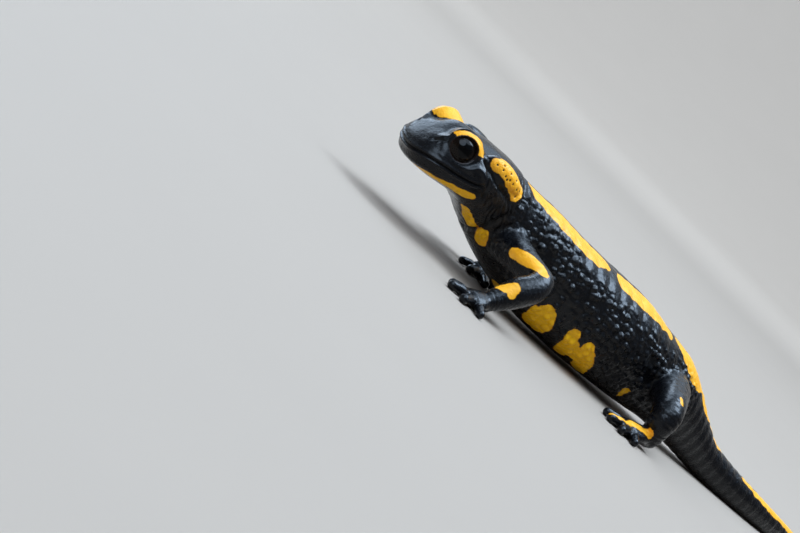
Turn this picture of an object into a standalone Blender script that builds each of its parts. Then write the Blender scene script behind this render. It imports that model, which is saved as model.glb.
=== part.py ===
"""Fire salamander, life size, as a still museum model in a climbing pose.

The animal faces -Y, its left side is +X, and it rests on the plane z = 0.
Sizes are worked in millimetres and scaled once, to metres, at the end.

The body is one closed form: a tube lofted along the spine, with the legs,
palms, digits and eyelids merged into it. Thin cuts then part it where a person
names its parts: head, lower jaw, neck, trunk, tail lengths and leg segments.
The eyeballs are separate balls in their sockets.
"""

import math

import bmesh
import bpy
import numpy as np
from mathutils import Matrix, Vector

# ---------------------------------------------------------------- driving sizes, mm
TO_METRES = 0.001
GAP = 0.3  # width of the thin cuts between neighbouring parts
VOXEL = 0.42  # grain of the merged form before it is thinned out
TRIANGLES = 4800  # triangles of the merged form before the cuts

SNOUT_Y = 0.9  # the snout's tip on the body's long axis
SNOUT_CAP = 5.2  # length over which the snout rounds off
SNOUT_CAP_POWER = 2.3
TAIL_END = 178.0  # snout to tail tip along the spine
TAIL_CAP = 2.2
TAIL_BEND_FROM, TAIL_BEND_TO = 118.0, 172.0  # the tail's sideways curve starts and ends here
TAIL_BEND = math.radians(30.0)

# Along the spine: distance back from the snout, height of the spine over the
# ground, half width, height above the spine, depth below the spine.
SPINE_STATIONS = (
    # s      z     half   up    down
    (0.0, 13.2, 6.5, 2.8, 3.2),  # snout
    (3.0, 14.1, 7.4, 3.7, 4.1),  # nostrils
    (6.0, 14.9, 8.3, 4.9, 4.9),  # front of the eyes
    (9.0, 15.7, 9.0, 5.75, 5.4),  # middle of the eyes
    (12.5, 16.55, 9.6, 5.6, 5.9),  # corner of the mouth
    (16.0, 16.85, 9.7, 5.75, 6.3),  # parotoid glands
    (20.0, 16.35, 9.1, 6.5, 6.9),  # back of the head
    (24.5, 15.2, 8.2, 7.3, 7.6),  # neck
    (31.0, 13.9, 8.6, 8.3, 8.9),  # shoulders
    (39.0, 12.9, 10.2, 9.1, 10.1),
    (49.0, 11.9, 11.5, 9.5, 11.0),
    (59.0, 11.5, 12.2, 9.7, 11.0),  # fullest part of the belly
    (69.0, 11.3, 11.8, 9.8, 10.7),
    (78.0, 10.75, 10.5, 9.0, 9.9),
    (86.0, 10.0, 8.8, 8.7, 8.7),  # hips
    (94.0, 8.3, 6.8, 7.4, 6.8),  # vent and base of the tail
    (103.0, 6.1, 5.2, 5.4, 5.2),
    (111.0, 4.35, 4.3, 4.0, 4.15),
    (119.0, 3.6, 3.8, 3.5, 3.72),
    (132.0, 3.0, 3.2, 2.95, 3.12),
    (147.0, 2.35, 2.55, 2.35, 2.47),
    (162.0, 1.6, 1.8, 1.65, 1.72),
    (172.0, 1.1, 1.3, 1.15, 1.22),
    (178.0, 0.8, 0.95, 0.85, 0.92),
)
SECTION_POWER_TOP = 2.15  # 2 is an ellipse, more is boxier
SECTION_POWER_BELLY = 2.35

# The head's own frame: x to its left, y back from the snout, z up from the jaw.
HEAD_ANCHOR = (9.0, 7.0)  # head y and z of the point the head turns about
HEAD_ANCHOR_AT = (9.0, 17.8)  # that point's y and z on the ground plane's frame
HEAD_PITCH = math.radians(15.7)  # nose down
EYE = (4.95, 8.45, 7.75)  # centre of the left eyeball in the head's frame
EYE_RADIUS = 3.35
EYE_LOOK = (0.90, -0.22, 0.30)  # where the left eye looks, head's frame
LID_SIZE = (4.15, 3.9, 4.15)  # outer surface of the lids, head's frame
EYE_OPENING = 2.85  # radius of the opening between the lids
PAROTOID = (6.8, 18.7, 6.7)  # middle of the left gland behind the eye, head's frame
PAROTOID_SIZE = (2.3, 5.3, 2.1)
PAROTOID_SLOPE = math.radians(8.0)  # the gland's rear end is the lower one
MOUTH = ((-2.0, 3.3), (1.0, 3.6), (3.0, 4.2), (6.0, 4.4), (10.0, 4.0), (13.0, 3.9), (14.6, 4.0))
JAW_HINGE = 14.8  # the lower jaw ends here, head's frame

# Cut planes across the spine, by distance back from the snout.
CUT_NECK_FRONT = 21.8
CUT_NECK_REAR = 26.6
CUT_TRUNK = 56.0
CUT_TAIL_BASE = 91.0
CUT_TAIL_MID = 118.0
CUT_TAIL_TIP = 150.0

# Legs: joint by joint, as (x, y, z, radius), from inside the body outward.
LEFT_ARM = (
    (4.5, 30.5, 11.4, 4.6),
    (10.0, 30.2, 11.3, 3.6),
    (16.0, 30.4, 11.5, 3.0),
    (21.4, 31.2, 11.4, 2.75),
    (23.5, 29.8, 9.8, 2.85),
    (24.4, 27.2, 7.5, 2.95),
    (25.2, 24.8, 4.9, 2.45),
    (26.0, 22.6, 3.0, 1.95),
)
LEFT_HAND = ((26.1, 22.3, 2.3), (27.2, 18.4, 1.45), 2.8, 1.5)  # wrist, knuckles, half width, half height
LEFT_FINGERS = (  # angle from straight ahead (toward +X is positive), length, radius
    (-50.0, 3.4, 0.92),
    (-15.0, 4.7, 1.0),
    (20.0, 4.9, 1.0),
    (60.0, 3.7, 0.92),
)
RIGHT_ARM = (
    (-4.5, 30.5, 11.2, 4.6),
    (-9.8, 32.6, 11.0, 3.6),
    (-14.4, 37.0, 10.5, 3.0),
    (-17.0, 42.4, 9.8, 2.75),
    (-17.2, 45.0, 7.8, 2.85),
    (-16.4, 46.4, 5.6, 2.7),
    (-14.9, 46.9, 3.8, 2.2),
    (-13.5, 46.7, 2.7, 1.9),
)
RIGHT_HAND = ((-13.5, 46.6, 2.2), (-10.8, 44.3, 1.4), 2.7, 1.45)
RIGHT_FINGERS = ((-48.0, 3.7, 0.92), (-14.0, 4.9, 1.0), (22.0, 4.7, 1.0), (56.0, 3.4, 0.92))
LEFT_LEG = (
    (4.0, 85.5, 11.0, 5.2),
    (9.5, 84.0, 11.0, 4.4),
    (15.0, 81.2, 10.4, 3.75),
    (19.6, 78.6, 9.4, 3.35),
    (21.8, 77.6, 7.9, 3.2),
    (22.4, 77.4, 6.0, 2.95),
    (22.3, 77.9, 4.2, 2.55),
    (22.2, 78.2, 2.9, 2.25),
)
LEFT_FOOT = ((22.2, 78.0, 2.3), (22.8, 71.8, 1.5), 3.2, 1.55)
LEFT_TOES = ((-46.0, 3.2, 0.95), (-20.0, 4.8, 1.02), (3.0, 5.6, 1.05), (28.0, 5.2, 1.02), (60.0, 3.7, 0.95))
RIGHT_LEG = (
    (-4.0, 85.5, 11.0, 5.2),
    (-9.5, 84.6, 11.0, 4.4),
    (-15.0, 84.0, 10.6, 3.75),
    (-20.0, 84.4, 9.6, 3.35),
    (-22.4, 86.0, 8.1, 3.2),
    (-23.2, 88.4, 6.2, 2.95),
    (-23.4, 90.4, 4.3, 2.55),
    (-23.6, 91.2, 2.9, 2.25),
)
RIGHT_FOOT = ((-23.7, 91.0, 2.3), (-25.6, 85.1, 1.5), 3.2, 1.55)
RIGHT_TOES = ((-60.0, 3.7, 0.95), (-28.0, 5.2, 1.02), (-3.0, 5.6, 1.05), (20.0, 4.8, 1.02), (46.0, 3.2, 0.95))
DIGIT_REST = 0.12  # how far the pads, soles and tail press flat on the ground

SKIN = {"body": (0.012, 0.012, 0.014), "eye": (0.008, 0.006, 0.005)}


# ---------------------------------------------------------------- curves
def smooth_through(knots, values):
    """A curve through the values that doesn't overshoot between them."""
    x = np.asarray(knots, float)
    y = np.asarray(values, float)
    step = np.diff(x)
    rise = np.diff(y) / step
    slope = np.zeros_like(y)
    same = rise[:-1] * rise[1:] > 0
    w1 = 2 * step[1:] + step[:-1]
    w2 = step[1:] + 2 * step[:-1]
    safe = np.where(same, rise[:-1], 1.0), np.where(same, rise[1:], 1.0)
    slope[1:-1] = np.where(same, (w1 + w2) / (w1 / safe[0] + w2 / safe[1]), 0.0)
    slope[0], slope[-1] = rise[0], rise[-1]

    def at(t):
        t = np.clip(np.asarray(t, float), x[0], x[-1])
        i = np.clip(np.searchsorted(x, t, side="right") - 1, 0, len(x) - 2)
        h = step[i]
        u = (t - x[i]) / h
        return (
            y[i] * (1 + 2 * u) * (1 - u) ** 2
            + slope[i] * h * u * (1 - u) ** 2
            + y[i + 1] * u * u * (3 - 2 * u)
            + slope[i + 1] * h * u * u * (u - 1)
        )

    return at


def ease(t):
    t = np.clip(t, 0.0, 1.0)
    return t * t * (3 - 2 * t)


STATION = np.array(SPINE_STATIONS)
SPINE_STEP = 0.25
SPINE_S = np.arange(0.0, TAIL_END + SPINE_STEP / 2, SPINE_STEP)
HEADING = TAIL_BEND * ease((SPINE_S - TAIL_BEND_FROM) / (TAIL_BEND_TO - TAIL_BEND_FROM))
SPINE = np.stack(
    [
        -np.concatenate([[0.0], np.cumsum(np.sin(HEADING[1:]) * SPINE_STEP)]),
        SNOUT_Y + np.concatenate([[0.0], np.cumsum(np.cos(HEADING[1:]) * SPINE_STEP)]),
        smooth_through(STATION[:, 0], STATION[:, 1])(SPINE_S),
    ],
    1,
)
HALF = smooth_through(STATION[:, 0], STATION[:, 2])
UP = smooth_through(STATION[:, 0], STATION[:, 3])
DOWN = smooth_through(STATION[:, 0], STATION[:, 4])


def spine_frame(s):
    """(point, left, up, back) of the spine at a distance s from the snout."""
    point = np.array([np.interp(s, SPINE_S, SPINE[:, k]) for k in range(3)])
    ahead = np.array([np.interp(s + 1.0, SPINE_S, SPINE[:, k]) for k in range(3)])
    behind = np.array([np.interp(s - 1.0, SPINE_S, SPINE[:, k]) for k in range(3)])
    back = ahead - behind
    back /= np.linalg.norm(back)
    left = np.cross(back, (0.0, 0.0, 1.0))
    left /= np.linalg.norm(left)
    return point, left, np.cross(left, back), back


def head_point(x, y, z):
    """A point of the head's own frame, on the ground plane's frame."""
    c, s = math.cos(HEAD_PITCH), math.sin(HEAD_PITCH)
    dy, dz = y - HEAD_ANCHOR[0], z - HEAD_ANCHOR[1]
    return (x, HEAD_ANCHOR_AT[0] + dy * c - dz * s, HEAD_ANCHOR_AT[1] + dy * s + dz * c)


def head_vector(x, y, z):
    c, s = math.cos(HEAD_PITCH), math.sin(HEAD_PITCH)
    v = Vector((x, y * c - z * s, y * s + z * c))
    return v.normalized()


# ---------------------------------------------------------------- mesh helpers
def new_object(name, mesh):
    obj = bpy.data.objects.new(name, mesh)
    bpy.context.scene.collection.objects.link(obj)
    return obj


def loft(bm, rings):
    """Skins closed rings of points, each with the same count, and caps both ends."""
    loops = [[bm.verts.new(p) for p in ring] for ring in rings]
    count = len(rings[0])
    for a, b in zip(loops, loops[1:]):
        for i in range(count):
            j = (i + 1) % count
            bm.faces.new((a[i], a[j], b[j], b[i]))
    bm.faces.new(list(reversed(loops[0])))
    bm.faces.new(loops[-1])


def body_rings(count=48):
    """Rings round the spine from the snout to the tip of the tail."""
    rings = []
    places = np.concatenate(
        [
            SNOUT_CAP * (1 - np.cos(np.linspace(0.06, math.pi / 2, 12))),
            np.arange(SNOUT_CAP + 0.8, TAIL_END - TAIL_CAP, 0.8),
            TAIL_END - TAIL_CAP * (1 - np.sin(np.linspace(0.0, math.pi / 2 - 0.12, 8))),
        ]
    )
    for s in places:
        point, left, up, _ = spine_frame(s)
        round_off = 1.0
        if s < SNOUT_CAP:
            round_off = (1 - (1 - s / SNOUT_CAP) ** SNOUT_CAP_POWER) ** (1 / SNOUT_CAP_POWER)
        if s > TAIL_END - TAIL_CAP:
            round_off = math.sqrt(max(1 - ((s - TAIL_END + TAIL_CAP) / TAIL_CAP) ** 2, 1e-4))
        ring = []
        for i in range(count):
            a = 2 * math.pi * i / count
            power = SECTION_POWER_TOP if math.sin(a) >= 0 else SECTION_POWER_BELLY
            tall = UP(s) if math.sin(a) >= 0 else DOWN(s)
            x = math.copysign(abs(math.cos(a)) ** (2 / power), math.cos(a)) * HALF(s)
            z = math.copysign(abs(math.sin(a)) ** (2 / power), math.sin(a)) * tall
            ring.append(point + (left * x + up * z) * round_off)
        rings.append(ring)
    return rings


def limb_rings(joints, count=20):
    """Round rings along a leg's joints, with rounded ends."""
    joints = np.array(joints)
    length = np.concatenate([[0], np.cumsum(np.linalg.norm(np.diff(joints[:, :3], axis=0), axis=1))])
    at = [smooth_through(length, joints[:, k]) for k in range(4)]
    places = np.linspace(0, length[-1], 26)
    centres = np.stack([f(places) for f in at[:3]], 1)
    radii = at[3](places)
    return tube_rings(centres, radii, radii, count)


def tube_rings(centres, wide, tall, count):
    """Rings across a path: wide is the radius along the ground, tall the one across it."""
    tangent = np.gradient(centres, axis=0)
    tangent /= np.linalg.norm(tangent, axis=1)[:, None]
    side = np.cross(tangent[0], (0.0, 0.0, 1.0))
    rings = []
    for p, t, w, h in zip(centres, tangent, wide, tall):
        side = side - t * (side @ t)
        side /= np.linalg.norm(side)
        up = np.cross(side, t)
        rings.append((p, t, side, up, w, h))
    out = []

    def ring(p, side, up, w, h):
        return [
            p + side * w * math.cos(2 * math.pi * i / count) + up * h * math.sin(2 * math.pi * i / count)
            for i in range(count)
        ]

    p, t, side, up, w, h = rings[0]
    for a in (1.35, 0.95, 0.5):
        out.append(ring(p - t * min(w, h) * math.sin(a), side, up, w * math.cos(a), h * math.cos(a)))
    for p, t, side, up, w, h in rings:
        out.append(ring(p, side, up, w, h))
    for a in (0.5, 0.95, 1.35):
        out.append(ring(p + t * min(w, h) * math.sin(a), side, up, w * math.cos(a), h * math.cos(a)))
    return out


def foot_forms(bm, palm, digits):
    """A flattened palm or sole and its digits, laid on the ground."""
    wrist, knuckles, half_width, half_height = palm
    wrist, knuckles = np.array(wrist), np.array(knuckles)
    along = knuckles - wrist
    t = np.linspace(0, 1, 9)
    centres = wrist + along * t[:, None]
    wide = half_width * (0.62 + 0.38 * ease(t * 1.4))
    tall = half_height * (1.15 - 0.2 * t)
    loft(bm, tube_rings(centres, wide, tall, 18))
    ahead = along / np.linalg.norm(along)
    for angle, length, radius in digits:
        a = math.radians(angle)
        # turned about the vertical, so that a positive angle is toward +X
        direction = np.array(
            [ahead[0] * math.cos(a) - ahead[1] * math.sin(a), ahead[0] * math.sin(a) + ahead[1] * math.cos(a), 0.0]
        )
        across = half_width * 0.72 * math.sin(a)
        side = np.array([-ahead[1], ahead[0], 0.0])
        root = knuckles + side * across * 0.9 - ahead * (1 - math.cos(a)) * 1.2 + direction * 0.4
        root[2] = 1.15
        tip = root + direction * length
        tip[2] = radius - DIGIT_REST
        middle = (root + tip) / 2
        middle[2] = (root[2] + tip[2]) / 2 + 0.22
        path = np.array([root, middle, tip])
        f = [smooth_through((0, 0.5, 1), path[:, k]) for k in range(3)]
        u = np.linspace(0, 1, 8)
        centres = np.stack([g(u) for g in f], 1)
        radii = radius * (1.08 - 0.12 * u)
        loft(bm, tube_rings(centres, radii, radii, 12))


def eye_axes(side):
    centre = Vector(head_point(side * EYE[0], EYE[1], EYE[2]))
    look = head_vector(side * EYE_LOOK[0], EYE_LOOK[1], EYE_LOOK[2])
    return centre, look


# ---------------------------------------------------------------- the merged form
def merged_form():
    mesh = bpy.data.meshes.new("merged_form")
    bm = bmesh.new()
    loft(bm, body_rings())
    for joints in (LEFT_ARM, RIGHT_ARM, LEFT_LEG, RIGHT_LEG):
        loft(bm, limb_rings(joints))
    foot_forms(bm, LEFT_HAND, LEFT_FINGERS)
    foot_forms(bm, RIGHT_HAND, RIGHT_FINGERS)
    foot_forms(bm, LEFT_FOOT, LEFT_TOES)
    foot_forms(bm, RIGHT_FOOT, RIGHT_TOES)
    for side in (1, -1):
        centre, _ = eye_axes(side)
        bmesh.ops.create_uvsphere(
            bm, u_segments=32, v_segments=20, radius=1.0,
            matrix=Matrix.Translation(centre) @ Matrix.Rotation(HEAD_PITCH, 4, "X") @ Matrix.Diagonal((*LID_SIZE, 1.0)),
        )
        gland = Matrix.Translation(head_point(side * PAROTOID[0], PAROTOID[1], PAROTOID[2]))
        bmesh.ops.create_uvsphere(
            bm, u_segments=32, v_segments=20, radius=1.0,
            matrix=gland @ Matrix.Rotation(-PAROTOID_SLOPE, 4, "X") @ Matrix.Diagonal((*PAROTOID_SIZE, 1.0)),
        )
    bmesh.ops.recalc_face_normals(bm, faces=bm.faces)
    bm.to_mesh(mesh)
    bm.free()
    obj = new_object("merged_form", mesh)
    remesh = obj.modifiers.new("remesh", "REMESH")
    remesh.mode = "VOXEL"
    remesh.voxel_size = VOXEL
    relax = obj.modifiers.new("relax", "SMOOTH")
    relax.factor = 0.5
    relax.iterations = 6
    thin = obj.modifiers.new("thin", "DECIMATE")
    thin.ratio = 1.0
    faces = sum(len(p.vertices) - 2 for p in evaluated_mesh(obj).polygons)
    thin.ratio = TRIANGLES / faces
    thin.use_collapse_triangulate = True
    baked = evaluated_mesh(obj)
    bpy.data.objects.remove(obj)
    return new_object("body_form", baked)


def evaluated_mesh(obj):
    bpy.context.view_layer.update()
    graph = bpy.context.evaluated_depsgraph_get()
    graph.update()
    return bpy.data.meshes.new_from_object(obj.evaluated_get(graph))


def cut(obj, cutters, operation="DIFFERENCE"):
    """Boolean with each cutter in turn, then bakes the result."""
    for cutter in cutters:
        cutter.hide_render = True
        cutter.display_type = "WIRE"
        boolean = obj.modifiers.new("cut", "BOOLEAN")
        boolean.object = cutter
        boolean.operation = operation
        boolean.solver = "EXACT"
        boolean.use_self = True
    baked = evaluated_mesh(obj)
    obj.modifiers.clear()
    obj.data = baked
    for cutter in cutters:
        bpy.data.objects.remove(cutter)


def slab(name, centre, normal, up, size, thickness=GAP):
    """A thin box across `normal`."""
    normal = Vector(normal).normalized()
    side = Vector(up).cross(normal).normalized()
    up = normal.cross(side)
    matrix = Matrix((side, up, normal)).transposed().to_4x4()
    matrix.translation = Vector(centre)
    mesh = bpy.data.meshes.new(name)
    bm = bmesh.new()
    bmesh.ops.create_cube(
        bm, size=1.0, matrix=matrix @ Matrix.Diagonal((size[0], size[1], thickness, 1.0))
    )
    bm.to_mesh(mesh)
    bm.free()
    return new_object(name, mesh)


def spine_slab(name, s, size):
    point, _, up, back = spine_frame(s)
    return slab(name, point, back, up, (size, size))


def limb_slab(name, joints, index, blend, size):
    """A thin box across a leg, at a share of the way from one joint to the next."""
    a, b = np.array(joints[index][:3]), np.array(joints[index + 1][:3])
    direction = b - a
    up = (0, 0, 1) if abs(direction[2]) < 0.8 * np.linalg.norm(direction) else (0, 1, 0)
    return slab(name, a + direction * blend, direction, up, (size, size))


def mouth_cutter():
    """A thin sheet along the mouth line that turns down behind the lower jaw."""
    path = [Vector((0, y, z)) for y, z in MOUTH]
    path += [Vector((0, JAW_HINGE + 0.35, 4.4)), Vector((0, JAW_HINGE + 0.55, 3.0)), Vector((0, JAW_HINGE + 0.6, -6.0))]
    profile = []
    for shift in (GAP / 2, -GAP / 2):
        edge = []
        for i, p in enumerate(path):
            before = path[max(i - 1, 0)]
            after = path[min(i + 1, len(path) - 1)]
            along = (after - before).normalized()
            normal = Vector((0, -along.z, along.y))
            edge.append(p + normal * shift)
        profile.append(edge)
    outline = profile[0] + list(reversed(profile[1]))
    mesh = bpy.data.meshes.new("mouth_cutter")
    bm = bmesh.new()
    low = [bm.verts.new(head_point(-15, p.y, p.z)) for p in outline]
    face = bm.faces.new(low)
    moved = bmesh.ops.extrude_face_region(bm, geom=[face])
    verts = [v for v in moved["geom"] if isinstance(v, bmesh.types.BMVert)]
    bmesh.ops.translate(bm, verts=verts, vec=(30, 0, 0))
    bmesh.ops.recalc_face_normals(bm, faces=bm.faces)
    bm.to_mesh(mesh)
    bm.free()
    return new_object("mouth_cutter", mesh)


def ball(name, centre, radius, segments, rings, pole=(0, 0, 1)):
    mesh = bpy.data.meshes.new(name)
    bm = bmesh.new()
    turn = Vector((0, 0, 1)).rotation_difference(Vector(pole)).to_matrix().to_4x4()
    turn.translation = centre
    bmesh.ops.create_uvsphere(bm, u_segments=segments, v_segments=rings, radius=radius, matrix=turn)
    bmesh.ops.recalc_face_normals(bm, faces=bm.faces)
    bm.to_mesh(mesh)
    bm.free()
    return new_object(name, mesh)


def socket_cutter(side):
    """The hollow that an eyeball sits in, and the opening between the lids."""
    centre, look = eye_axes(side)
    radius = EYE_RADIUS + GAP
    rim = math.asin(min(EYE_OPENING / radius, 0.99))
    steps = 8
    profile = [(0.0, -radius)]
    for i in range(1, steps + 1):
        a = math.pi - (math.pi - rim) * i / steps
        profile.append((radius * math.sin(a), radius * math.cos(a)))
    profile.append((EYE_OPENING * 1.06, radius + 2.0))
    profile.append((0.0, radius + 2.0))
    mesh = bpy.data.meshes.new("socket")
    bm = bmesh.new()
    verts = [bm.verts.new((r, 0, z)) for r, z in profile]
    edges = [bm.edges.new(pair) for pair in zip(verts, verts[1:])]
    bmesh.ops.spin(
        bm, geom=verts + edges, cent=(0, 0, 0), axis=(0, 0, 1), angle=2 * math.pi, steps=18, use_merge=True
    )
    bmesh.ops.remove_doubles(bm, verts=bm.verts, dist=0.0001)
    turn = Vector((0, 0, 1)).rotation_difference(look).to_matrix().to_4x4()
    turn.translation = centre
    bmesh.ops.transform(bm, verts=bm.verts, matrix=turn)
    bmesh.ops.recalc_face_normals(bm, faces=bm.faces)
    bm.to_mesh(mesh)
    bm.free()
    return new_object("socket_%s" % ("left" if side > 0 else "right"), mesh)


def principled(name, colour, roughness):
    material = bpy.data.materials.new(name)
    material.use_nodes = True
    shader = material.node_tree.nodes["Principled BSDF"]
    shader.inputs["Base Color"].default_value = (*colour, 1.0)
    shader.inputs["Roughness"].default_value = roughness
    shader.inputs["Metallic"].default_value = 0.0
    return material


def leg_middle(joints, first, last):
    return np.mean([j[:3] for j in joints[first : last + 1]], axis=0)


def main():
    for obj in list(bpy.data.objects):
        bpy.data.objects.remove(obj)

    body = merged_form()

    # The ground: everything that presses below it becomes a small flat.
    ground = slab("ground", (0, 90, -10.0), (0, 0, 1), (0, 1, 0), (400, 400), 20.0)
    sockets = [socket_cutter(1), socket_cutter(-1)]
    cut(body, [ground] + sockets)

    leg_cuts = [
        slab("cut_left_arm", (10.6, 30.0, 9.0), (1, 0.02, 0.01), (0, 0, 1), (16, 18)),
        slab("cut_right_arm", (-10.9, 32.8, 11.2), (-1, 0.02, 0.01), (0, 0, 1), (13.5, 13.5)),
        slab("cut_left_leg", (12.8, 81.3, 9.0), (1, -0.05, 0.02), (0, 0, 1), (19, 20)),
        slab("cut_right_leg", (-11.8, 84.6, 9.0), (-1, 0.1, 0.02), (0, 0, 1), (18, 20)),
        limb_slab("cut_left_elbow", LEFT_ARM, 3, 0.45, 8),
        limb_slab("cut_right_elbow", RIGHT_ARM, 3, 0.4, 8),
        limb_slab("cut_left_knee", LEFT_LEG, 3, 0.45, 9),
        limb_slab("cut_right_knee", RIGHT_LEG, 3, 0.45, 9),
        limb_slab("cut_left_wrist", LEFT_ARM, 6, 0.85, 7),
        limb_slab("cut_right_wrist", RIGHT_ARM, 5, 0.95, 5.5),
        limb_slab("cut_left_ankle", LEFT_LEG, 5, 0.75, 8),
        slab("cut_right_ankle", (-23.4, 90.0, 4.8), (0, 0.3, -1), (0, 1, 0), (9.5, 9.5)),
    ]
    body_cuts = [
        spine_slab("cut_neck_front", CUT_NECK_FRONT, 40),
        spine_slab("cut_neck_rear", CUT_NECK_REAR, 40),
        spine_slab("cut_trunk", CUT_TRUNK, 40),
        spine_slab("cut_tail_base", CUT_TAIL_BASE, 26),
        spine_slab("cut_tail_mid", CUT_TAIL_MID, 40),
        spine_slab("cut_tail_tip", CUT_TAIL_TIP, 40),
        mouth_cutter(),
    ]
    cuts = leg_cuts + body_cuts
    cut(body, cuts)

    anchors = {
        "head": head_point(0, 12, 9),
        "lower_jaw": head_point(0, 8, 1.2),
        "neck": spine_frame((CUT_NECK_FRONT + CUT_NECK_REAR) / 2)[0],
        "trunk_front": spine_frame((CUT_NECK_REAR + CUT_TRUNK) / 2)[0],
        "trunk_rear": spine_frame((CUT_TRUNK + CUT_TAIL_BASE) / 2)[0],
        "tail_base": spine_frame((CUT_TAIL_BASE + CUT_TAIL_MID) / 2)[0],
        "tail_middle": spine_frame((CUT_TAIL_MID + CUT_TAIL_TIP) / 2)[0],
        "tail_tip": spine_frame((CUT_TAIL_TIP + TAIL_END) / 2)[0],
        "left_upper_arm": leg_middle(LEFT_ARM, 2, 2),
        "left_forearm": leg_middle(LEFT_ARM, 4, 6),
        "left_hand": np.array(LEFT_HAND[1]),
        "right_upper_arm": leg_middle(RIGHT_ARM, 2, 2),
        "right_forearm": leg_middle(RIGHT_ARM, 4, 6),
        "right_hand": np.array(RIGHT_HAND[1]),
        "left_thigh": leg_middle(LEFT_LEG, 2, 3),
        "left_shank": leg_middle(LEFT_LEG, 4, 6),
        "left_foot": np.array(LEFT_FOOT[1]),
        "right_thigh": leg_middle(RIGHT_LEG, 2, 3),
        "right_shank": leg_middle(RIGHT_LEG, 4, 6),
        "right_foot": np.array(RIGHT_FOOT[1]),
    }
    pieces = split_loose(body)
    if len(pieces) != len(anchors):
        for middle, _, count in pieces:
            print("piece at", middle.round(1).tolist(), "of", count, "corners")
        raise SystemExit("the cuts left %d pieces for %d names" % (len(pieces), len(anchors)))
    nodes = []
    for name, anchor in anchors.items():
        far = [np.linalg.norm(piece[0] - np.array(anchor)) for piece in pieces]
        nodes.append(new_object(name, pieces.pop(far.index(min(far)))[1]))
    for side, name in ((1, "eye_left"), (-1, "eye_right")):
        centre, look = eye_axes(side)
        nodes.append(ball(name, centre, EYE_RADIUS, 18, 10, look))

    # Millimetres to metres, with the origin under the middle of the whole model's box.
    corners = np.array([v.co for node in nodes for v in node.data.vertices])
    low, high = corners.min(0), corners.max(0)
    shift = Vector((-(low[0] + high[0]) / 2, -(low[1] + high[1]) / 2, 0.0))
    to_metres = Matrix.Scale(TO_METRES, 4) @ Matrix.Translation(shift)
    for node in nodes:
        node.data.transform(to_metres)
        kind = "eye" if node.name.startswith("eye") else "body"
        node.data.materials.clear()
        node.data.materials.append(
            principled(node.name + "_finish", SKIN[kind], 0.08 if kind == "eye" else 0.3)
        )
        node.data.shade_smooth()
        node.data.set_sharp_from_angle(angle=math.radians(50))
    print("model box, mm:", (high - low).round(2).tolist(), "shift", [round(v, 3) for v in shift])
    print("triangles:", sum(len(p.vertices) - 2 for node in nodes for p in node.data.polygons))


def split_loose(obj):
    """[(middle of the box, mesh, vertex count)] of each loose piece, and removes the object."""
    bm = bmesh.new()
    bm.from_mesh(obj.data)
    bmesh.ops.remove_doubles(bm, verts=bm.verts, dist=0.002)
    bmesh.ops.triangulate(bm, faces=bm.faces)
    bmesh.ops.dissolve_degenerate(bm, edges=bm.edges, dist=0.002)
    bmesh.ops.triangulate(bm, faces=bm.faces)
    bm.verts.ensure_lookup_table()
    label = {}
    groups = []
    for start in bm.verts:
        if start in label:
            continue
        stack = [start]
        label[start] = len(groups)
        group = []
        while stack:
            v = stack.pop()
            group.append(v)
            for edge in v.link_edges:
                other = edge.other_vert(v)
                if other not in label:
                    label[other] = len(groups)
                    stack.append(other)
        groups.append(group)
    pieces = []
    for number, group in enumerate(groups):
        index = {v: i for i, v in enumerate(group)}
        faces = {f for v in group for f in v.link_faces}
        mesh = bpy.data.meshes.new("piece_%d" % number)
        mesh.from_pydata(
            [v.co[:] for v in group],
            [],
            [[index[v] for v in f.verts] for f in sorted(faces, key=lambda f: f.index)],
        )
        mesh.update()
        co = np.array([v.co for v in group])
        pieces.append(((co.min(0) + co.max(0)) / 2, mesh, len(group)))
    bm.free()
    bpy.data.objects.remove(obj)
    return pieces


main()
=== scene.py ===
"""Fire salamander, life size: one skin, two eyes, a plain studio and the camera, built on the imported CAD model.

Lengths are worked in millimetres in the CAD source's own frame (snout near
y = 0, left side +X, floor z = 0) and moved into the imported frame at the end,
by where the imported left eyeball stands. The skin is one closed mesh that
stands for every node of flesh. Its folds, lids, mouth, pores and granules are
moved into the mesh, and its stripes are stored as distances in millimetres
from named strokes, which the material turns into clean procedural edges.
"""

import math

import bmesh
import bpy
import numpy as np
from mathutils import Matrix, Vector


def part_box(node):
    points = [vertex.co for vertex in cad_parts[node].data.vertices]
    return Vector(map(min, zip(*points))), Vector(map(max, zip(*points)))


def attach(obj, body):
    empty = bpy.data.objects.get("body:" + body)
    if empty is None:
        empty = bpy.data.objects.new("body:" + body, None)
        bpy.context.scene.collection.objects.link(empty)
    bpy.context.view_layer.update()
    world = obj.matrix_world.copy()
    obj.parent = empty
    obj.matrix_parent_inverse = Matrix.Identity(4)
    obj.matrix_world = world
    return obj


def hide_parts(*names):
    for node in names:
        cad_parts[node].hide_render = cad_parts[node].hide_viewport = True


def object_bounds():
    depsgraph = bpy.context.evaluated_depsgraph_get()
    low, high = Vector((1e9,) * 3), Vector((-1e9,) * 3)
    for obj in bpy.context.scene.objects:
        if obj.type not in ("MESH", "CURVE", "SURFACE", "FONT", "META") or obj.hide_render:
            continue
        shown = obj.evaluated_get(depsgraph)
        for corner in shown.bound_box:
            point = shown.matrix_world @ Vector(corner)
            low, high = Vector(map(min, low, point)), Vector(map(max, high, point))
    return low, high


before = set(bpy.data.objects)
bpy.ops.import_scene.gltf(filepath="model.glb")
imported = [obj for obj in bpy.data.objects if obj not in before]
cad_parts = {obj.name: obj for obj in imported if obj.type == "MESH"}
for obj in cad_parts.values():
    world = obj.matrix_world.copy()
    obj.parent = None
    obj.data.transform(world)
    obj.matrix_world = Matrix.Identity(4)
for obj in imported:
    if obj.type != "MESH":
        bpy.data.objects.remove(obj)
cad_low, cad_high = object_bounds()

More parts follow.
